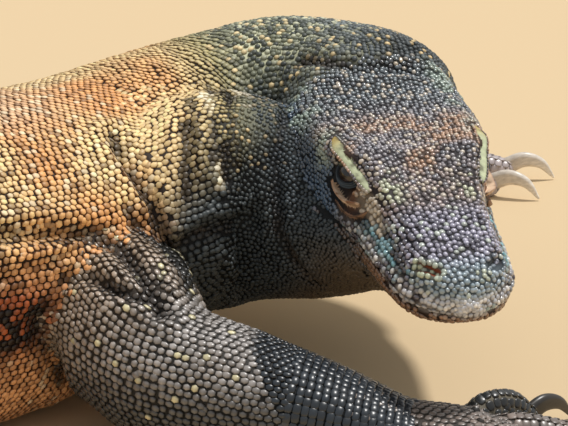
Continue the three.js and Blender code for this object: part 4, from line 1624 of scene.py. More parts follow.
@dataclass
class Skin:
    """The one skin: all tubes, lids and bare folds joined, eased where they meet."""

    tubes: list
    ease_reach: float = 10.0
    passes: int = 8
    spread: int = 12
    eye_room: float = 30.0
    obj: Object = None

    def build(self, rng: np.random.Generator, finish: "Finish") -> None:
        """Joins the tubes, lids and folds, eases the joins and dresses the skin.

        Args:
            rng: Source of the uneven tone.
            finish: The hide between scales.
        """
        base, *others = [tube_object(tube, rng) for tube in self.tubes]
        others += [eye.lids() for eye in EYES]
        others += [ribbon.build(eye, k) for eye in EYES for k, ribbon in enumerate(RIBBONS)]
        group = bpy.data.collections.new("joined")
        bpy.context.scene.collection.children.link(group)
        for other in others:
            bpy.context.scene.collection.objects.unlink(other)
            group.objects.link(other)
        join = base.modifiers.new("join", "BOOLEAN")
        join.operation = "UNION"
        join.operand_type = "COLLECTION"
        join.solver = "MANIFOLD"
        join.collection = group
        mesh = evaluated(base)
        base.modifiers.clear()
        for other in others:
            bpy.data.objects.remove(other)
        bpy.data.collections.remove(group)
        self.settle(mesh)
        base.data = mesh
        base.name = mesh.name = "skin"
        self.obj = base
        finish.dress(base)
        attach(base, BODY)
        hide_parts(*SKIN_NODES)
        LOG.info("skin: %d faces", len(mesh.polygons))

    def settle(self, mesh: Mesh) -> None:
        """Eases the joins.

        The vertices that the join added are the start; the distance from them runs along
        edges; a vertex nearer than the reach moves toward the mean of its neighbours, by a
        weight that falls with that distance, pass after pass.

        Args:
            mesh: The joined mesh, which is changed.
        """
        points = read_points(mesh)
        count = len(points)
        a, b = read_array(mesh.edges, "vertices", 2, np.int32).T
        added = read_array(mesh.attributes["source"].data, "value", 1)[:, 0] < 0.5
        near_eye = np.any([size_of(points - eye.centre()) < self.eye_room
                           for eye in EYES], axis=0)
        self.fill_colours(mesh, added, a, b)
        length = size_of(points[a] - points[b])
        gone = np.where(added & ~near_eye, 0.0, 1e3)
        for _ in range(self.spread):
            np.minimum.at(gone, a, gone[b] + length)
            np.minimum.at(gone, b, gone[a] + length)
        weight = fall(gone, 0, self.ease_reach) * ~near_eye
        degree = np.maximum(np.bincount(a, minlength=count) + np.bincount(b, minlength=count), 1)
        for _ in range(self.passes):
            mean = neighbour_sums(points, a, b) / degree[:, None]
            points += 0.6 * weight[:, None] * (mean - points)
        points[:, 2] = np.maximum(points[:, 2], SKIN_FLOOR)
        write_points(mesh, points)
        mesh.update()

    def fill_colours(self, mesh: Mesh, added: Array, a: Array, b: Array) -> None:
        """Gives the vertices that the join added the mean colour of their known neighbours.

        Args:
            mesh: The joined mesh.
            added: Which vertices the join added.
            a: One end of every edge.
            b: Its other end.
        """
        layer = mesh.attributes["Markings"]
        colour = read_array(layer.data, "color", 4)
        unknown = added.copy()
        for _ in range(self.spread):
            known = (~unknown).astype(float)[:, None]
            total = neighbour_sums(colour[:, :3] * known, a, b)
            weight = neighbour_sums(known, a, b)[:, 0]
            use = unknown & (weight > 0)
            colour[use, :3] = total[use] / weight[use, None]
            unknown &= ~use
        colour[:, 3] = 1
        layer.data.foreach_set("color", colour.ravel())

    def surface(self, rng: np.random.Generator, share: float = 3.0) -> tuple:
        """Places scattered evenly over the skin and the normals there.

        Each triangle gets one place for every `share` square millimetres, at random weights
        of its corners; the normal is the same blend of the corners' normals.

        Args:
            rng: Source of the scatter.
            share: Square millimetres per place.

        Returns:
            The places and the normals.
        """
        mesh = self.obj.data
        mesh.calc_loop_triangles()
        corner = read_array(mesh.loop_triangles, "vertices", 3, np.int32)
        points = read_points(mesh)
        a, b, c = points[corner.T]
        area = 0.5 * size_of(np.cross(b - a, c - a))
        corner = np.repeat(corner, np.ceil(area / share).astype(int), axis=0)
        u, v = rng.random((2, len(corner)))
        fold = u + v > 1
        u, v = np.where(fold, 1 - u, u), np.where(fold, 1 - v, v)
        weights = np.stack([1 - u - v, u, v])[..., None]
        normals = read_array(mesh.vertex_normals, "vector", 3).astype(float)
        places, out = ((values[corner.T] * weights).sum(axis=0) for values in (points, normals))
        return places, unit(out)

    def wrap(self, points: Array) -> Array:
        """The nearest places on the skin to the given places.

        Args:
            points: Places in millimetres.

        Returns:
            One place on the skin for each.
        """
        mesh = bpy.data.meshes.new("probe")
        mesh.vertices.add(len(points))
        write_points(mesh, points)
        probe = add_object("probe", mesh)
        grip = probe.modifiers.new("wrap", "SHRINKWRAP")
        grip.target = self.obj
        grip.wrap_method = "NEAREST_SURFACEPOINT"
        grip.wrap_mode = "ON_SURFACE"
        settled = evaluated(probe)
        found = read_points(settled)
        bpy.data.objects.remove(probe)
        bpy.data.meshes.remove(settled)
        return found


# ---- scales
@dataclass(frozen=True)
class ScaleShape:
    """The form of one scale, in shares of its half length, half width and height.

    A corner lies at (cos, sin) with each raised to the power `corner`, which gives a bead at
    1, a diamond above it and a tile below it.  `levels` holds radius, height and shade from
    the base ring up; the shade falls by `dark_rear` toward the scale's rear edge.
    """

    sides: int
    levels: tuple
    corner: float = 1.0
    tilt: float = 8.0
    dark_rear: float = 0.0

    def template(self) -> tuple:
        """Vertices (length, width, height shares), shade from 0 at the rim to 1, and faces."""
        angle = (np.arange(self.sides) + 0.5 * (self.corner < 1)) * 2 * np.pi / self.sides
        x = np.sign(np.cos(angle)) * np.abs(np.cos(angle)) ** self.corner
        y = np.sign(np.sin(angle)) * np.abs(np.sin(angle)) ** self.corner
        rings = [np.stack([x * r, y * r, np.full(self.sides, h)], axis=-1)
                 for r, h, _ in self.levels]
        points = np.concatenate(rings + [np.array([[0, 0, 1.0]])])
        rear = np.maximum(x, 0) * self.dark_rear
        shade = np.concatenate([np.clip(level[2] - rear, 0, 1) for level in self.levels])
        j = np.arange(self.sides)
        k = (j + 1) % self.sides
        quads = [np.stack([j, k, k + self.sides, j + self.sides], axis=-1) + level * self.sides
                 for level in range(len(self.levels) - 1)]
        top = (len(self.levels) - 1) * self.sides
        fan = np.stack([j + top, k + top, np.full(self.sides, len(points) - 1)], axis=-1)
        split = [np.concatenate([q[:, [0, 1, 2]], q[:, [0, 2, 3]]]) for q in quads]
        base = np.stack([np.zeros(self.sides - 2, int), j[2:], j[1:-1]], axis=-1)
        return points, np.r_[shade, 1.0], np.concatenate([base] + split + [fan])


class Shape(Enum):
    """The forms that scales take."""

    TILE = ScaleShape(6, ((1.0, -0.5, 0.0), (0.96, 0.45, 0.50), (0.80, 0.86, 1.0)), 0.8, 10.0, 0.40)
    SCUTE = ScaleShape(8, ((1.0, -0.5, 0.0), (0.95, 0.5, 0.7), (0.72, 0.93, 1.0)), 0.6, 6.0, 0.2)
    OVAL = ScaleShape(6, ((1.0, -0.4, 0.1), (0.95, 0.40, 0.5), (0.68, 0.84, 1.0)), 0.85, 10.0, 0.45)
    BEAD = ScaleShape(6, ((1.0, -0.4, 0.0), (0.76, 0.68, 0.85)), tilt=0.0)
    FINE = ScaleShape(7, ((1.0, -0.4, 0.0), (0.93, 0.38, 0.6), (0.58, 0.84, 0.95)), tilt=0.0)
    COARSE = ScaleShape(6, ((1.0, -0.5, 0.1), (0.84, 0.62, 0.9)), 0.85, 9.0, 0.35)
    PLATE = ScaleShape(6, ((1.0, -0.5, 0.0), (0.90, 0.60, 0.9)), 0.7, 6.0, 0.2)


@dataclass(frozen=True)
class Band:
    """A stretch of a tube with one sort of scale.

    `pitch` is the spacing along and round, `size` the scale's length, width and height and
    `warp` the bend of its rows, all in millimetres.  `stagger` sets every other column on.
    """

    start: float
    end: float
    pitch: tuple
    size: tuple
    shape: Shape
    jitter: float = 0.07
    warp: float = 0.0
    stagger: float = 0.5


@dataclass
class Roots:
    """Where scales grow: place, direction along the body, outward direction, reach and turn."""

    place: Array
    along: Array
    out: Array
    reach: Array
    turn: Array

    def __len__(self) -> int:
        """How many roots there are."""
        return len(self.place)

    def parts(self) -> tuple:
        """The five arrays in order."""
        return self.place, self.along, self.out, self.reach, self.turn

    def pick(self, keep: Array) -> "Roots":
        """Only the chosen roots."""
        return Roots(*(part[keep] for part in self.parts()))

    def joined(self, *more: "Roots") -> "Roots":
        """These roots followed by more."""
        every = (self, *more)
        return Roots(*(np.concatenate(column) for column in zip(*(one.parts() for one in every))))


# How rows are laid: probes round a girth, the fewest columns, how unlike in length the columns
# of straight rows may be, and the size of the field that bends rows.
GIRTH_PROBES, LEAST_COLUMNS, EVEN_SPREAD, WARP_SIZE = 96, 6, 1.12, 16.0
# How roots settle: the step to the places beside, the least agreement with the old outward
# direction and the lowest place, in millimetres.
PROBE_STEP, LEAST_FACING, LOWEST_ROOT = 1.6, 0.3, 1.3


def lay_rows(tube: Tube, band: Band, rng: np.random.Generator) -> Roots:
    """Sets roots in rows on a tube.

    Columns run along the tube at even turns.  Down each column the roots follow one another at
    the pitch along the surface, half a step on in every other column; where all columns are
    nearly as long as each other they get the same count, which makes straight rows across.

    Args:
        tube: The tube of hide.
        band: The stretch and its scales.
        rng: Source of the small unevenness.

    Returns:
        The roots on the tube's own surface.
    """
    rings = np.arange(len(tube.reach), dtype=float)
    first, last = np.interp([band.start, band.end], tube.reach, rings)
    ring = np.linspace(first, last, max(int((last - first) * 2), 12))
    level = ring[:, None]
    probe = tube.sample(level, np.arange(GIRTH_PROBES)[None, :] / GIRTH_PROBES + 0 * level)
    girth = size_of(np.roll(probe, -1, axis=1) - probe).sum(axis=1)
    pairs = int(round(np.quantile(girth, 0.6) / band.pitch[1] / 2))
    columns = max(pairs * 2, LEAST_COLUMNS)
    turn = (np.arange(columns) + 0.25) / columns
    grid = tube.sample(level, turn[None, :] + 0 * level)
    steps = size_of(np.diff(grid, axis=0))
    run = np.concatenate([np.zeros((1, columns)), np.cumsum(steps, axis=0)])
    total = run[-1]
    if total.max() < EVEN_SPREAD * total.min():
        count = np.full(columns, int(round(total.mean() / band.pitch[0])))
    else:
        count = (total / band.pitch[0]).astype(int)
    count = np.maximum(count, 1)
    column = np.repeat(np.arange(columns), count)
    order = np.arange(count.sum()) - np.repeat(np.cumsum(count) - count, count)
    share = order + 0.25 + band.stagger * (column % 2) + rng.normal(0, band.jitter, len(column))
    where = np.clip(share / count[column], 0, 1) * total[column]
    at = np.concatenate([np.interp(where[column == c], run[:, c], ring) for c in range(columns)])
    turns = turn[column] + rng.normal(0, band.jitter, len(column)) / columns
    if band.warp:
        rough = tube.sample(at, turns)
        turns = turns + band.warp * (cloud(rough, WARP_SIZE, 91) - 0.5) / np.interp(at, ring, girth)
        at = at + band.warp * (cloud(rough, WARP_SIZE, 92) - 0.5) * (last - first) / total.mean()
    ahead = tube.sample(at + 0.3, turns) - tube.sample(at - 0.3, turns)
    round_it = tube.sample(at, turns + 0.004) - tube.sample(at, turns - 0.004)
    out = unit(np.cross(round_it, ahead)) * tube.outward()
    return Roots(tube.sample(at, turns), unit(ahead), out, np.interp(at, rings, tube.reach),
                 np.mod(turns, 1.0))


def settle_roots(roots: Roots, skin: Skin, farthest: float) -> tuple:
    """Moves roots onto the joined skin.

    The root and two places beside it go to their nearest points on the skin; the steps between
    the three give the new directions.  Roots that had to move far lay inside another part, and
    those near the floor would pass through it; both are left out.

    Args:
        roots: Roots on a tube.
        skin: The joined skin.
        farthest: The longest move, in millimetres.

    Returns:
        The roots that stay, on the skin, and how far each one moved.
    """
    beside = np.cross(roots.out, roots.along)
    probes = np.concatenate([roots.place, roots.place + roots.along * PROBE_STEP,
                             roots.place + beside * PROBE_STEP])
    here, ahead, side = np.split(skin.wrap(probes), 3)
    out = unit(np.cross(ahead - here, side - here))
    facing = (out * roots.out).sum(axis=-1)
    out = np.where((facing < LEAST_FACING)[:, None], roots.out, out)
    along = ahead - here
    along = unit(along - out * (along * out).sum(axis=-1, keepdims=True))
    moved = size_of(here - roots.place)
    stays = (moved < farthest) & (here[:, 2] > LOWEST_ROOT)
    return Roots(here, along, out, roots.reach, roots.turn).pick(stays), moved[stays]


def cell_keys(points: Array, cell: float, shift: float) -> Array:
    """One whole number for the cube of space that each place lies in."""
    cells = np.floor(points / cell + shift).astype(np.int64) + 4096
    return (cells[:, 0] << 40) | (cells[:, 1] << 20) | cells[:, 2]


def uncrowded(points: Array, moved: Array, room: float) -> Array:
    """Which roots keep their place where several were pressed together.

    The one that moved least stays in each cube of space, on two grids half a cube apart.

    Args:
        points: Settled places.
        moved: How far each one came.
        room: The cube's side in millimetres.

    Returns:
        A choice of roots.
    """
    stays = np.ones(len(points), bool)
    order = np.argsort(moved, kind="stable")
    for shift in (0.0, 0.5):
        _, first = np.unique(cell_keys(points, room, shift)[order], return_index=True)
        least = np.zeros(len(points), bool)
        least[order[first]] = True
        stays &= least
    return stays


def head_openings(points: Array) -> Array:
    """Which places lie clear of eyes, lids, nostrils, mouth slit and ears.

    Args:
        points: Places in millimetres.

    Returns:
        One truth value per place.
    """
    here = HEAD.folded(points)
    back, side, high = here.T
    clear = stroke(here * HEAD.length, head_path(NOSTRIL_SLIT), 3.0) < 0.37
    for place, room in ((NOSTRIL_AT, 3.0), (EAR_AT, 4.6)):
        clear &= size_of(here - np.array(place)) * HEAD.length > room
    slit = np.abs(high - mouth_height(back)) * HEAD.length < 1.3
    clear &= ~(slit & (back < 0.74) & (back > -0.05) & (high < 0.03) & (side < 0.26))
    for eye in EYES:
        clear &= size_of(points - eye.centre()) > EYE_RADIUS + EYE_CLEAR
    near = np.flatnonzero(size_of(points - HEAD.point(0.5, 0, 0.1)) < 75)
    clear[near] &= ~near_ribbons(points[near])
    return clear


@dataclass
class Bed:
    """One band's scales: firm roots, loose roots that came farther, and how far they came."""

    band: Band
    firm: Roots
    loose: Roots
    moved: Array


@dataclass
class Patch:
    """The scales of one tube, in beds, with their finish and the reach they span."""

    name: str
    tube: Tube
    finish: "Finish"
    slot: str
    span: tuple
    beds: list = field(default_factory=list)


@dataclass
class Coat:
    """All scales: rows laid on each tube, settled on the skin and joined into a few pieces."""

    skin: Skin
    rng: np.random.Generator
    claimed: dict = field(default_factory=dict)
    patches: list = field(default_factory=list)
    calm: float = 2.2
    farthest: float = 15.0
    most: int = 190_000
    cell: float = 2.8
    fine_cell: float = 1.5
    kin_cells: tuple = (6.0, 12.0, 24.0)
    crowd: float = 0.9
    cover: float = 0.72
    lowest_mend: float = 1.5
    lid_bead: float = 2.3
    lid_span: tuple = (80, 140)
    seat_edge: float = 0.002
    seat_size: float = 0.0015

    def unclaimed(self, points: Array) -> Array:
        """Which places aren't in a cell that an earlier band already uses.

        Two grids of cubes half a cell apart are used, so that neighbours over a cell's edge
        are found as well.
        """
        free = np.ones(len(points), bool)
        for shift, taken in self.claimed.items():
            free &= ~np.isin(cell_keys(points, self.cell, shift), taken)
        return free

    def claim(self, points: Array) -> None:
        """Marks the cells of these places as used."""
        for shift in (0.0, 0.5):
            keys = np.unique(cell_keys(points, self.cell, shift))
            self.claimed[shift] = np.union1d(self.claimed.get(shift, keys), keys)

    def sow(self, name: str, tube: Tube, bands: tuple, finish: "Finish", slot: str) -> None:
        """Settles the roots of a tube's bands and keeps those that lie on the skin.

        Args:
            name: The piece's name.
            tube: The tube of hide.
            bands: Its bands.
            finish: The material.
            slot: The record's material slot; kept on the patch but not used.
        """
        patch = Patch(name, tube, finish, slot, (bands[0].start, bands[-1].end))
        for band in bands:
            roots, moved = settle_roots(lay_rows(tube, band, self.rng), self.skin, self.farthest)
            if tube.name in ("spine", "throat"):
                clear = head_openings(roots.place)
                roots, moved = roots.pick(clear), moved[clear]
            calm = moved < self.calm
            firm = roots.pick(calm)
            firm = firm.pick(self.unclaimed(firm.place))
            patch.beds.append(Bed(band, firm, roots.pick(~calm), moved[~calm]))
        for bed in patch.beds:
            self.claim(bed.firm.place)
        self.patches.append(patch)

    def edge_lids(self, tube: Tube) -> None:
        """Sets rows of small beads along the edges of the pale fold over each eye.

        Args:
            tube: The spine, whose markings the beads take.
        """
        pitch, span = self.lid_bead, self.lid_span
        rows = [RIBBONS[0].beads(eye, pitch) for eye in EYES]
        places = np.concatenate([row[0] for row in rows])
        ways = np.concatenate([row[1] for row in rows])
        count = len(places)
        out = unit(np.concatenate([row[0] - eye.centre() for eye, row in zip(EYES, rows)]))
        roots = Roots(places, ways, out, np.full(count, np.mean(span)),
                      np.linspace(0.1, 0.9, count))
        roots, _ = settle_roots(roots, self.skin, 6.0)
        band = Band(*span, (pitch, pitch), (pitch + 0.2, pitch, 0.9), Shape.FINE, 0.25)
        patch = Patch("scales_lids", tube, HEAD_SCALE, "head_hide", span)
        patch.beds.append(Bed(band, roots, roots.pick(slice(0)), np.zeros(0)))
        self.patches.append(patch)

    def grow(self) -> None:
        """Fills the eased joins with the roots that came farther, then makes the pieces."""
        for bed in [bed for patch in self.patches for bed in patch.beds]:
            keep = uncrowded(bed.loose.place, bed.moved, self.crowd * min(bed.band.pitch))
            extra = bed.loose.pick(keep & self.unclaimed(bed.loose.place))
            self.claim(extra.place)
            bed.firm = bed.firm.joined(extra)
        self.mend()
        for patch in self.patches:
            self.make(patch)

    def mend(self) -> None:
        """Sets roots where the skin is still bare.

        Each root marks the small cubes of space within most of a pitch of it.  The places
        scattered over the skin that lie outside every marked cube are bare; those left after
        thinning become roots, each taking its lie, reach and turn from a root nearby.
        """
        beds = [bed for patch in self.patches for bed in patch.beds if len(bed.firm)]
        taken = [self.around(bed.firm.place, self.cover * max(bed.band.pitch)) for bed in beds]
        taken = np.unique(np.concatenate(taken))
        places, normals = self.skin.surface(self.rng)
        bare = ~np.isin(cell_keys(places, self.fine_cell, 0.0), taken)
        bare &= head_openings(places) & (places[:, 2] > self.lowest_mend)
        places, normals = places[bare], normals[bare]
        owner = np.concatenate([np.full(len(bed.firm), k) for k, bed in enumerate(beds)])
        known = beds[0].firm.joined(*(bed.firm for bed in beds[1:]))
        kin = self.nearby(known.place, places)
        places, normals, kin = places[kin >= 0], normals[kin >= 0], kin[kin >= 0]
        along = known.along[kin]
        along = unit(along - normals * (along * normals).sum(axis=1, keepdims=True))
        fresh = Roots(places, along, normals, known.reach[kin], known.turn[kin])
        for k, bed in enumerate(beds):
            mine = fresh.pick(owner[kin] == k)
            mine = mine.pick(uncrowded(mine.place, np.zeros(len(mine)), min(bed.band.pitch)))
            bed.firm = bed.firm.joined(mine)
        LOG.info("mended: %d bare places", len(places))

    def nearby(self, known: Array, places: Array) -> Array:
        """For each place the number of a known one in the same cube, small cubes first.

        Args:
            known: The known places.
            places: The places to match.

        Returns:
            One number per place, minus one where none is near.
        """
        kin = np.full(len(places), -1)
        for cell in self.kin_cells:
            keys, first = np.unique(cell_keys(known, cell, 0.0), return_index=True)
            wanted = cell_keys(places, cell, 0.0)
            slot = np.clip(np.searchsorted(keys, wanted), 0, len(keys) - 1)
            found = (keys[slot] == wanted) & (kin < 0)
            kin[found] = first[slot[found]]
        return kin

    def around(self, places: Array, radius: float) -> Array:
        """The keys of the small cubes within a distance of these places.

        Args:
            places: Places in millimetres.
            radius: The distance.

        Returns:
            The keys, each once.
        """
        reach = int(np.ceil(radius / self.fine_cell))
        span = np.arange(-reach, reach + 1)
        steps = np.stack(np.meshgrid(span, span, span), axis=-1).reshape(-1, 3) * self.fine_cell
        steps = steps[size_of(steps) <= radius]
        keys = [np.unique(cell_keys(places + step, self.fine_cell, 0.0)) for step in steps]
        return np.unique(np.concatenate(keys))

    def make(self, patch: Patch) -> None:
        """Makes a patch's scales as meshes below the largest size.

        Args:
            patch: The patch.
        """
        total, batch, number = 0, [], 1
        for bed in patch.beds:
            faces = len(bed.band.shape.value.template()[2])
            order = np.argsort(bed.firm.reach, kind="stable")
            room = self.most // faces
            for begin in range(0, len(order), room):
                part = bed.firm.pick(order[begin:begin + room])
                if total + len(part) * faces > self.most:
                    self.join(f"{patch.name}_{number}", batch, patch)
                    batch, total, number = [], 0, number + 1
                batch.append((bed.band, part))
                total += len(part) * faces
        if batch:
            self.join(f"{patch.name}_{number}", batch, patch)

    def place(self, band: Band, roots: Roots, template: Array) -> Array:
        """The vertices of a band's scales, scales by corners by three.

        A corner is its root plus the template's length, width and height shares along the
        three directions; the height rises toward the rear by the tangent of the tilt.

        Args:
            band: The sort of scale.
            roots: Where they grow.
            template: One scale's vertices, in shares.

        Returns:
            The places in millimetres.
        """
        swing = self.rng.normal(0, band.jitter * 0.9, len(roots))[:, None]
        beside = np.cross(roots.out, roots.along)
        along = roots.along * np.cos(swing) + beside * np.sin(swing)
        beside = np.cross(roots.out, along)
        grow = 1 + self.rng.normal(0, 0.7 * band.jitter + 0.02, (len(roots), 3))
        half = np.clip(grow, 0.7, 1.3) * (np.array(band.size) * (0.5, 0.5, 1.0))
        x, y, z = (template[None, :, k] * half[:, k:k + 1] for k in range(3))
        lean = np.tan(np.radians(band.shape.value.tilt)) * template[None, :, 0] * half[:, :1]
        z = z + np.where(template[None, :, 2] > 0, lean, 0)
        return (roots.place[:, None] + along[:, None] * x[..., None]
                + beside[:, None] * y[..., None] + roots.out[:, None] * z[..., None])

    def tones(self, roots: Roots, shade: Array, painter: Callable[[Spots], Paint]) -> Array:
        """The colours of those vertices: rim to crown by their shade, each scale its own."""
        grain = self.rng.random(len(roots))
        paint = painter(Spots(roots.place, roots.reach, roots.turn, grain))
        bright = (0.76 + 0.44 * self.rng.random(len(roots)))[:, None, None]
        return blend(paint.rim[:, None], paint.crown[:, None], shade[None, :]) * bright

    def seats(self, roots: Roots, span: tuple, template: Array) -> Array:
        """The vertices' places on the map: turn by reach, each scale on a small patch."""
        share = (roots.reach - span[0]) / (span[1] - span[0])
        seat = np.clip(np.stack([roots.turn, share], axis=-1), self.seat_edge, 1 - self.seat_edge)
        return seat[:, None] + template[None, :, [1, 0]] * self.seat_size

    def join(self, name: str, batch: list, patch: Patch) -> None:
        """Makes and dresses one mesh of the batch's scales.

        Args:
            name: The piece's name.
            batch: Pairs of a band and its roots.
            patch: The patch they belong to.
        """
        painter = paint_of(patch.tube.name)
        points, colours, faces, corners = [], [], [], []
        start = 0
        for band, roots in batch:
            template, shade, triangles = band.shape.value.template()
            points.append(self.place(band, roots, template).reshape(-1, 3))
            colours.append(self.tones(roots, shade, painter).reshape(-1, 3))
            corners.append(self.seats(roots, patch.span, template).reshape(-1, 2))
            first = start + np.arange(len(roots)) * len(template)
            faces.append((triangles[None] + first[:, None, None]).reshape(-1, 3))
            start += len(roots) * len(template)
        whole = np.concatenate(points)
        whole[:, 2] = np.maximum(whole[:, 2], SCALE_FLOOR)
        triangles = np.concatenate(faces)
        obj = mesh_object(name, whole, [triangles])
        set_colours(obj.data, np.clip(np.concatenate(colours), 0, 1))
        layer = obj.data.uv_layers.new(name="OFBake")
        spots = np.concatenate(corners)[triangles.ravel()]
        layer.data.foreach_set("uv", spots.astype(np.float32).ravel())
        patch.finish.dress(obj)
        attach(obj, BODY)
        patch.slot
        LOG.info("%s: %d triangles", name, len(triangles))


# ---- claws
@dataclass(frozen=True)
class ClawSet:
    """The five claws of a foot: curved, deeper than wide, with a groove along each side.

    `reach` and `rise` lead the middle of a claw out and up from its root; `cap` closes the
    tip by shares of its radius.  The solids are `clear` times as thick as the horn.
    """

    foot: FootPlan
    root_tone: str
    tip_tone: str
    reach: tuple = (0.0, 12.0, 24.0, 33.0)
    rise: tuple = (-1.0, 3.5, 0.5, -9.5)
    widths: tuple = (4.2, 3.8, 2.8, 0.8)
    heights: tuple = (6.2, 5.6, 3.8, 0.9)
    sides: int = 40
    rings: int = 33
    cap: tuple = (0.45, 0.8, 0.98)
    groove: float = 0.13
    root_height: float = 11.5
    clear: float = 0.97

    def build(self, finish: "Finish") -> None:
        """Makes and dresses the claws, each standing for its solid.

        Args:
            finish: The horn.
        """
        for k, (along, root, length) in enumerate(self.foot.rays()):
            size = self.foot.size
            base = root + along * (length + size) + UP * self.root_height * size + ORIGIN_SHIFT
            claw = self.claw(k + 1, along, base)
            finish.dress(claw)
            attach(claw, BODY)
            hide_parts(f"claw_{self.foot.name}_{k + 1}")
        LOG.info("claws of %s", self.foot.name)

    def claw(self, number: int, along: Array, base: Array) -> Object:
        """One claw: an oval drawn in along a groove, carried along a curve to a rounded tip.

        Args:
            number: Which digit it ends.
            along: The digit's direction over the floor.
            base: The claw's root.

        Returns:
            The claw as a closed coloured mesh.
        """
        knots = np.linspace(0, 1, len(self.reach))
        rows = np.c_[self.reach, self.rise, self.widths, self.heights] * self.foot.size
        t = np.r_[np.linspace(0, 1, self.rings), np.ones(len(self.cap))]
        cap = np.r_[np.zeros(self.rings), self.cap]
        read = smooth_rows(t, knots, rows)
        slope = unit(smooth_rows(np.minimum(t + 0.01, 1), knots, rows)[:, :2]
                     - smooth_rows(np.maximum(t - 0.01, 0), knots, rows)[:, :2])
        shrink = np.sqrt(1 - cap**2)[:, None]
        forward = slope[:, :1] * along + slope[:, 1:] * UP
        above = -slope[:, 1:] * along + slope[:, :1] * UP
        centre = (base + read[:, :1] * along + read[:, 1:2] * UP
                  + forward * (cap * read[:, 2] * 0.9)[:, None])
        angle = np.arange(self.sides) * 2 * np.pi / self.sides
        drawn = 1 - self.groove * bell(np.abs(np.sin(angle)) - 1, 0.12)
        x = (np.sin(angle) * drawn)[None] * read[:, 2:3] * shrink * self.clear
        y = np.cos(angle)[None] * read[:, 3:4] * shrink * self.clear
        rings = centre[:, None] + x[..., None] * np.cross(along, UP) + y[..., None] * above[:, None]
        ends = np.array([centre[0], centre[-1] + forward[-1] * 0.05])
        points = np.concatenate([rings.reshape(-1, 3), ends])
        points[:, 2] = np.maximum(points[:, 2], CLAW_FLOOR)
        wear = np.r_[np.repeat(t, self.sides), 0, 1]
        streak = cloud(points * [1, 1, 3], 2.2, 17)
        tone = blend(np.tile(linear(self.root_tone), (len(points), 1)), linear(self.tip_tone), wear)
        tone = np.clip(tone * (0.76 + 0.48 * streak)[:, None], 0, 1)
        return solid(f"horn_{self.foot.name}_{number}", points, tube_faces(*rings.shape[:2]), tone)


# ---- materials
def add_node(tree: bpy.types.NodeTree, kind: str, settings: dict | None = None,
             inputs: dict | None = None) -> bpy.types.Node:
    """Adds a shader node.

    Args:
        tree: The material's or world's tree.
        kind: Blender's node type.
        settings: Properties to set.
        inputs: Values, or sockets to link, by input name or number.

    Returns:
        The node.
    """
    node = tree.nodes.new(kind)
    for name, value in (settings or {}).items():
        setattr(node, name, value)
    for name, value in (inputs or {}).items():
        if isinstance(value, bpy.types.NodeSocket):
            tree.links.new(value, node.inputs[name])
        else:
            node.inputs[name].default_value = value
    return node


@dataclass(frozen=True)
class Finish:
    """A hide, horn or eye surface that takes its colour from the vertices.

    `relief` is the height in millimetres of a fine unevenness and `grit` its size in
    millimetres; a relief of nought leaves the surface smooth.
    """

    name: str
    roughness: float
    specular: float = 0.5
    ior: float = 1.5
    coat: float = 0.0
    coat_roughness: float = 0.05
    relief: float = 0.0
    grit: float = 0.8

    def material(self) -> bpy.types.Material:
        """The material, made once."""
        known = bpy.data.materials.get(self.name)
        if known:
            return known
        made = bpy.data.materials.new(self.name)
        made.use_nodes = True
        tree = made.node_tree
        tree.nodes.clear()
        colour = add_node(tree, "ShaderNodeAttribute", {"attribute_name": "Markings"})
        surface = add_node(tree, "ShaderNodeBsdfPrincipled", None, {
            "Base Color": colour.outputs["Color"],
            "Roughness": self.roughness,
            "Specular IOR Level": self.specular,
            "IOR": self.ior,
            "Coat Weight": self.coat,
            "Coat Roughness": self.coat_roughness,
        })
        if self.relief:
            where = add_node(tree, "ShaderNodeTexCoord")
            grain = add_node(tree, "ShaderNodeTexNoise", None, {
                "Vector": where.outputs["Object"], "Scale": 1000.0 / self.grit, "Detail": 2.0})
            bump = add_node(tree, "ShaderNodeBump", None, {
                "Height": grain.outputs[0], "Distance": self.relief * MM, "Strength": 1.0})
            tree.links.new(bump.outputs[0], surface.inputs["Normal"])
        end = add_node(tree, "ShaderNodeOutputMaterial")
        tree.links.new(surface.outputs[0], end.inputs[0])
        return made

    def dress(self, obj: Object) -> None:
        """Gives the object this finish."""
        obj.data.materials.clear()
        obj.data.materials.append(self.material())


# Dry granular hide between scales: dull, finely uneven.
HIDE_SKIN = Finish("granular_hide", 0.62, 0.35, 1.45, relief=0.25, grit=1.1)
# Keratin scales of trunk, limbs and tail: waxy, a soft broad sheen.
BODY_SCALE = Finish("keratin_scale", 0.46, 0.45, 1.54)
# Foreleg scales, rubbed by grass and stones: darker, with a soft glint on each.
LIMB_SCALE = Finish("rubbed_keratin_scale", 0.36, 0.5, 1.54, coat=0.35, coat_roughness=0.24)
# Domed head scales, worn smooth: small sharp glints.
HEAD_SCALE = Finish("polished_keratin_bead", 0.26, 0.6, 1.54, coat=0.8, coat_roughness=0.12)
# Solid claw horn, half polished by the ground, pale or near black by its own tones.
CLAW_HORN = Finish("grooved_horn", 0.34, 0.5, 1.54)
# The wet cornea over a dark iris: a clear sharp reflection.
WET_EYE = Finish("wet_cornea", 0.12, 0.5, 1.376, coat=1.0, coat_roughness=0.03)


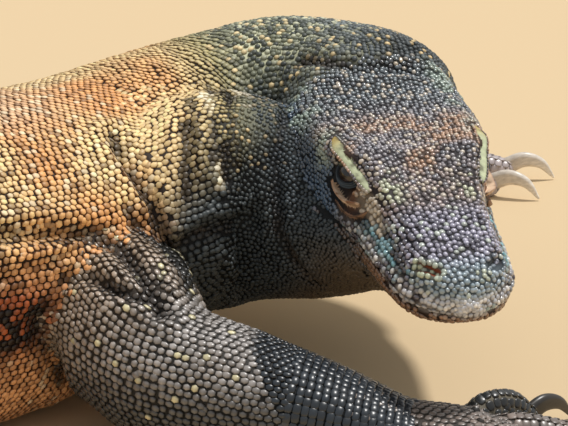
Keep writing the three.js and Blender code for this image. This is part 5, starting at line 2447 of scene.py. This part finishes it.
# ---- studio and camera
@dataclass(frozen=True)
class Studio:
    """A plain sand-coloured floor, a soft high sun and an even surround."""

    floor_colour: str = "#d9c19c"
    sky_colour: str = "#ffffff"
    backdrop: str = "#efe9df"
    sky_strength: float = 0.5
    sun_strength: float = 2.6
    sun_angle: float = 6.0
    sun_from: tuple = (0.32, 0.02, 0.94)

    half: float = 14000.0
    sun_colour: tuple = (1.0, 0.975, 0.94)

    def build(self) -> None:
        """Makes floor, sun and surround."""
        self.floor()
        self.sun()
        self.surround()

    def floor(self) -> None:
        """A flat matt floor."""
        corners = [(-1, -1, 0), (1, -1, 0), (1, 1, 0), (-1, 1, 0)]
        floor = mesh_object("floor", self.half * np.array(corners, float),
                            [np.array([[0, 1, 2, 3]])], smooth=False)
        paper = bpy.data.materials.new("matt_floor")
        paper.use_nodes = True
        shader = paper.node_tree.nodes["Principled BSDF"]
        shader.inputs["Base Color"].default_value = (*linear(self.floor_colour), 1)
        shader.inputs["Roughness"].default_value = 0.95
        shader.inputs["Specular IOR Level"].default_value = 0.1
        floor.data.materials.append(paper)
        floor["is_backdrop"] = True

    def sun(self) -> None:
        """A soft sun, high on the animal's right."""
        lamp = bpy.data.lights.new("sun", "SUN")
        lamp.energy = self.sun_strength
        lamp.angle = np.radians(self.sun_angle)
        lamp.color = self.sun_colour
        aim_object(add_object("sun", lamp), np.zeros(3), -np.array(self.sun_from))

    def surround(self) -> None:
        """White light from all round, and a plain backdrop that only the camera sees."""
        world = bpy.data.worlds.new("surround")
        bpy.context.scene.world = world
        world.use_nodes = True
        tree = world.node_tree
        tree.nodes.clear()
        path = add_node(tree, "ShaderNodeLightPath")
        lit = add_node(tree, "ShaderNodeBackground", None, {
            "Color": (*linear(self.sky_colour), 1), "Strength": self.sky_strength})
        seen = add_node(tree, "ShaderNodeBackground", None, {
            "Color": (*linear(self.backdrop), 1), "Strength": 1.0})
        mix = add_node(tree, "ShaderNodeMixShader", None, {
            0: path.outputs["Is Camera Ray"], 1: lit.outputs[0], 2: seen.outputs[0]})
        end = add_node(tree, "ShaderNodeOutputWorld")
        tree.links.new(mix.outputs[0], end.inputs[0])


def aim_object(obj: Object, place: Array, ahead: Array) -> None:
    """Puts a lamp or camera somewhere, looking ahead with its top up.

    Args:
        obj: The lamp or camera.
        place: Where, in metres.
        ahead: The way it looks.
    """
    ahead = unit(np.asarray(ahead, float))
    side = unit(np.cross(ahead, UP))
    above = np.cross(side, ahead)
    pose = np.eye(4)
    pose[:3] = np.c_[side, above, -ahead, place]
    obj.matrix_world = pose.T.tolist()


@dataclass(frozen=True)
class Viewpoint:
    """The camera: a long lens low beside the head."""

    place: tuple = (-0.331, -1.829, 0.7616)
    heading: float = 22.0
    dip: float = 19.0
    lens: float = 218.5

    def build(self) -> None:
        """Makes the camera and hands it to the scene."""
        data = bpy.data.cameras.new("camera")
        data.lens = self.lens
        data.sensor_width = 36.0
        camera = add_object("camera", data)
        turn, dip = np.radians([self.heading, self.dip])
        ahead = np.array([np.sin(turn) * np.cos(dip), np.cos(turn) * np.cos(dip), -np.sin(dip)])
        aim_object(camera, np.array(self.place), ahead)
        bpy.context.scene.camera = camera


# ---- whole
SPINE_BANDS = {
    "scales_head": (
        Band(-2.1, 12, (3.4, 3.2), (3.7, 3.5, 1.1), Shape.FINE, 0.12),
        Band(12, 28, (3.7, 3.5), (4.1, 3.9, 1.5), Shape.FINE, 0.12),
        Band(28, 52, (3.8, 3.6), (4.2, 4.0, 1.6), Shape.FINE, 0.12),
        Band(52, 82, (3.7, 3.5), (4.1, 3.9, 1.5), Shape.FINE, 0.12),
        Band(82, 112, (3.2, 3.0), (3.6, 3.4, 1.3), Shape.FINE, 0.14),
        Band(112, 160, (3.0, 2.8), (3.4, 3.1, 1.1), Shape.FINE, 0.15),
        Band(160, 205, (3.1, 2.9), (3.5, 3.2, 1.2), Shape.FINE, 0.15),
    ),
    "scales_neck": (
        Band(205, 300, (3.9, 3.7), (4.2, 3.9, 1.6), Shape.FINE, 0.10, warp=5.0),
        Band(300, 400, (4.3, 3.7), (4.8, 4.0, 1.2), Shape.TILE, 0.08, warp=4.0),
    ),
    "scales_trunk": (
        Band(400, 640, (4.6, 3.8), (5.1, 4.2, 1.1), Shape.TILE, 0.06),
        Band(640, 800, (5.4, 4.5), (6.0, 4.9, 1.2), Shape.COARSE, 0.06),
        Band(800, 1110, (6.8, 5.6), (7.5, 6.1, 1.3), Shape.COARSE, 0.06),
    ),
    "scales_tail": (
        Band(1110, 1500, (7.4, 5.3), (8.2, 5.8, 1.5), Shape.COARSE, 0.06),
        Band(1500, 2100, (8.4, 4.8), (9.2, 5.2, 1.5), Shape.COARSE, 0.06),
        Band(2100, 2560, (8.0, 4.0), (8.8, 4.3, 1.0), Shape.COARSE, 0.06),
    ),
}


def limb_bands(tube: Tube) -> tuple:
    """The bands of scales for a throat, limb, hand, foot or toe.

    Args:
        tube: The tube of hide.

    Returns:
        Its bands, in order.
    """
    end = float(tube.reach[-1]) - 1.0
    if tube.name == "throat":
        return (Band(2, 50, (4.2, 3.6), (4.6, 3.9, 1.1), Shape.TILE, 0.09, warp=4.0),
                Band(50, end, (3.1, 2.8), (3.4, 3.0, 1.1), Shape.BEAD, 0.12, warp=4.0))
    if tube.name == "arm_right":
        return (Band(2, 70, (4.1, 3.4), (4.7, 3.7, 0.9), Shape.OVAL, 0.08),
                Band(70, 174, (4.7, 3.9), (5.4, 4.3, 1.2), Shape.OVAL, 0.08),
                Band(174, end, (4.7, 4.6), (5.2, 6.6, 1.3), Shape.SCUTE, 0.05, stagger=0.0))
    if tube.name.startswith("arm"):
        return (Band(2, end, (5.4, 4.6), (6.1, 5.1, 1.1), Shape.COARSE, 0.08),)
    if tube.name.startswith(("thigh", "shank")):
        return (Band(2, end, (6.4, 5.3), (7.2, 5.9, 1.2), Shape.COARSE, 0.07),)
    if tube.name.startswith("palm"):
        form = Shape.OVAL if "hand" in tube.name else Shape.COARSE
        return (Band(1, end, (4.8, 4.5), (5.2, 4.8, 1.0), form, 0.08),)
    form = Shape.SCUTE if "hand" in tube.name else Shape.PLATE
    return (Band(1, end, (5.0, 6.0), (5.2, 6.0, 0.8), form, 0.05),)


@dataclass
class Dragon:
    """The whole animal."""

    seed: int = 11
    pale_claws: tuple = ("#c6bbae", "#e8e1d6")
    dark_claws: tuple = ("#2b2927", "#47423e")

    @staticmethod
    def tubes() -> list:
        """The tubes of hide: the spine first, then the throat, the limbs and the digits."""
        plans = [SpinePlan().loft(), THROAT.loft()] + [plan.loft() for plan in ARMS_AND_LEGS]
        for foot in FEET:
            plans += [foot.palm(), *foot.toes()]
        LOG.info("tubes: %d", len(plans))
        return [relieve(tube) for tube in plans]

    def build(self) -> None:
        """Makes skin, scales, eyes and claws in order."""
        rng = np.random.default_rng(self.seed)
        spine, *others = self.tubes()
        skin = Skin([spine, *others])
        skin.build(rng, HIDE_SKIN)
        coat = Coat(skin, rng)
        coat.edge_lids(spine)
        for name, bands in SPINE_BANDS.items():
            head = name == "scales_head"
            coat.sow(name, spine, bands, HEAD_SCALE if head else BODY_SCALE,
                     "head_hide" if head else "body_hide")
        for tube in others:
            slot = "throat_hide" if tube.name == "throat" else "body_hide"
            finish = LIMB_SCALE if tube.name.startswith(("arm", "palm", "toe")) else BODY_SCALE
            coat.sow(f"scales_{tube.name}", tube, limb_bands(tube), finish, slot)
        coat.grow()
        for eye in EYES:
            eye.build(WET_EYE)
        for foot in FEET:
            tones = self.pale_claws if foot.name == "hand_left" else self.dark_claws
            ClawSet(foot, *tones).build(CLAW_HORN)


def write_size() -> None:
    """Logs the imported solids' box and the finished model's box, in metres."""
    before = [list(corner) for corner in CAD_BOX]
    after = [list(corner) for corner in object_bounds()]
    {"cad": before, "visual": after}
    LOG.info("size: %s then %s", before, after)


def main() -> None:
    """Builds the scene in order."""
    logging.basicConfig(level=logging.INFO, format="%(name)s %(relativeCreated)d ms %(message)s")
    bpy.context.scene.view_settings.view_transform = "Standard"
    Studio().build()
    Viewpoint().build()
    Dragon().build()
    write_size()


if __name__ == "__main__":
    main()
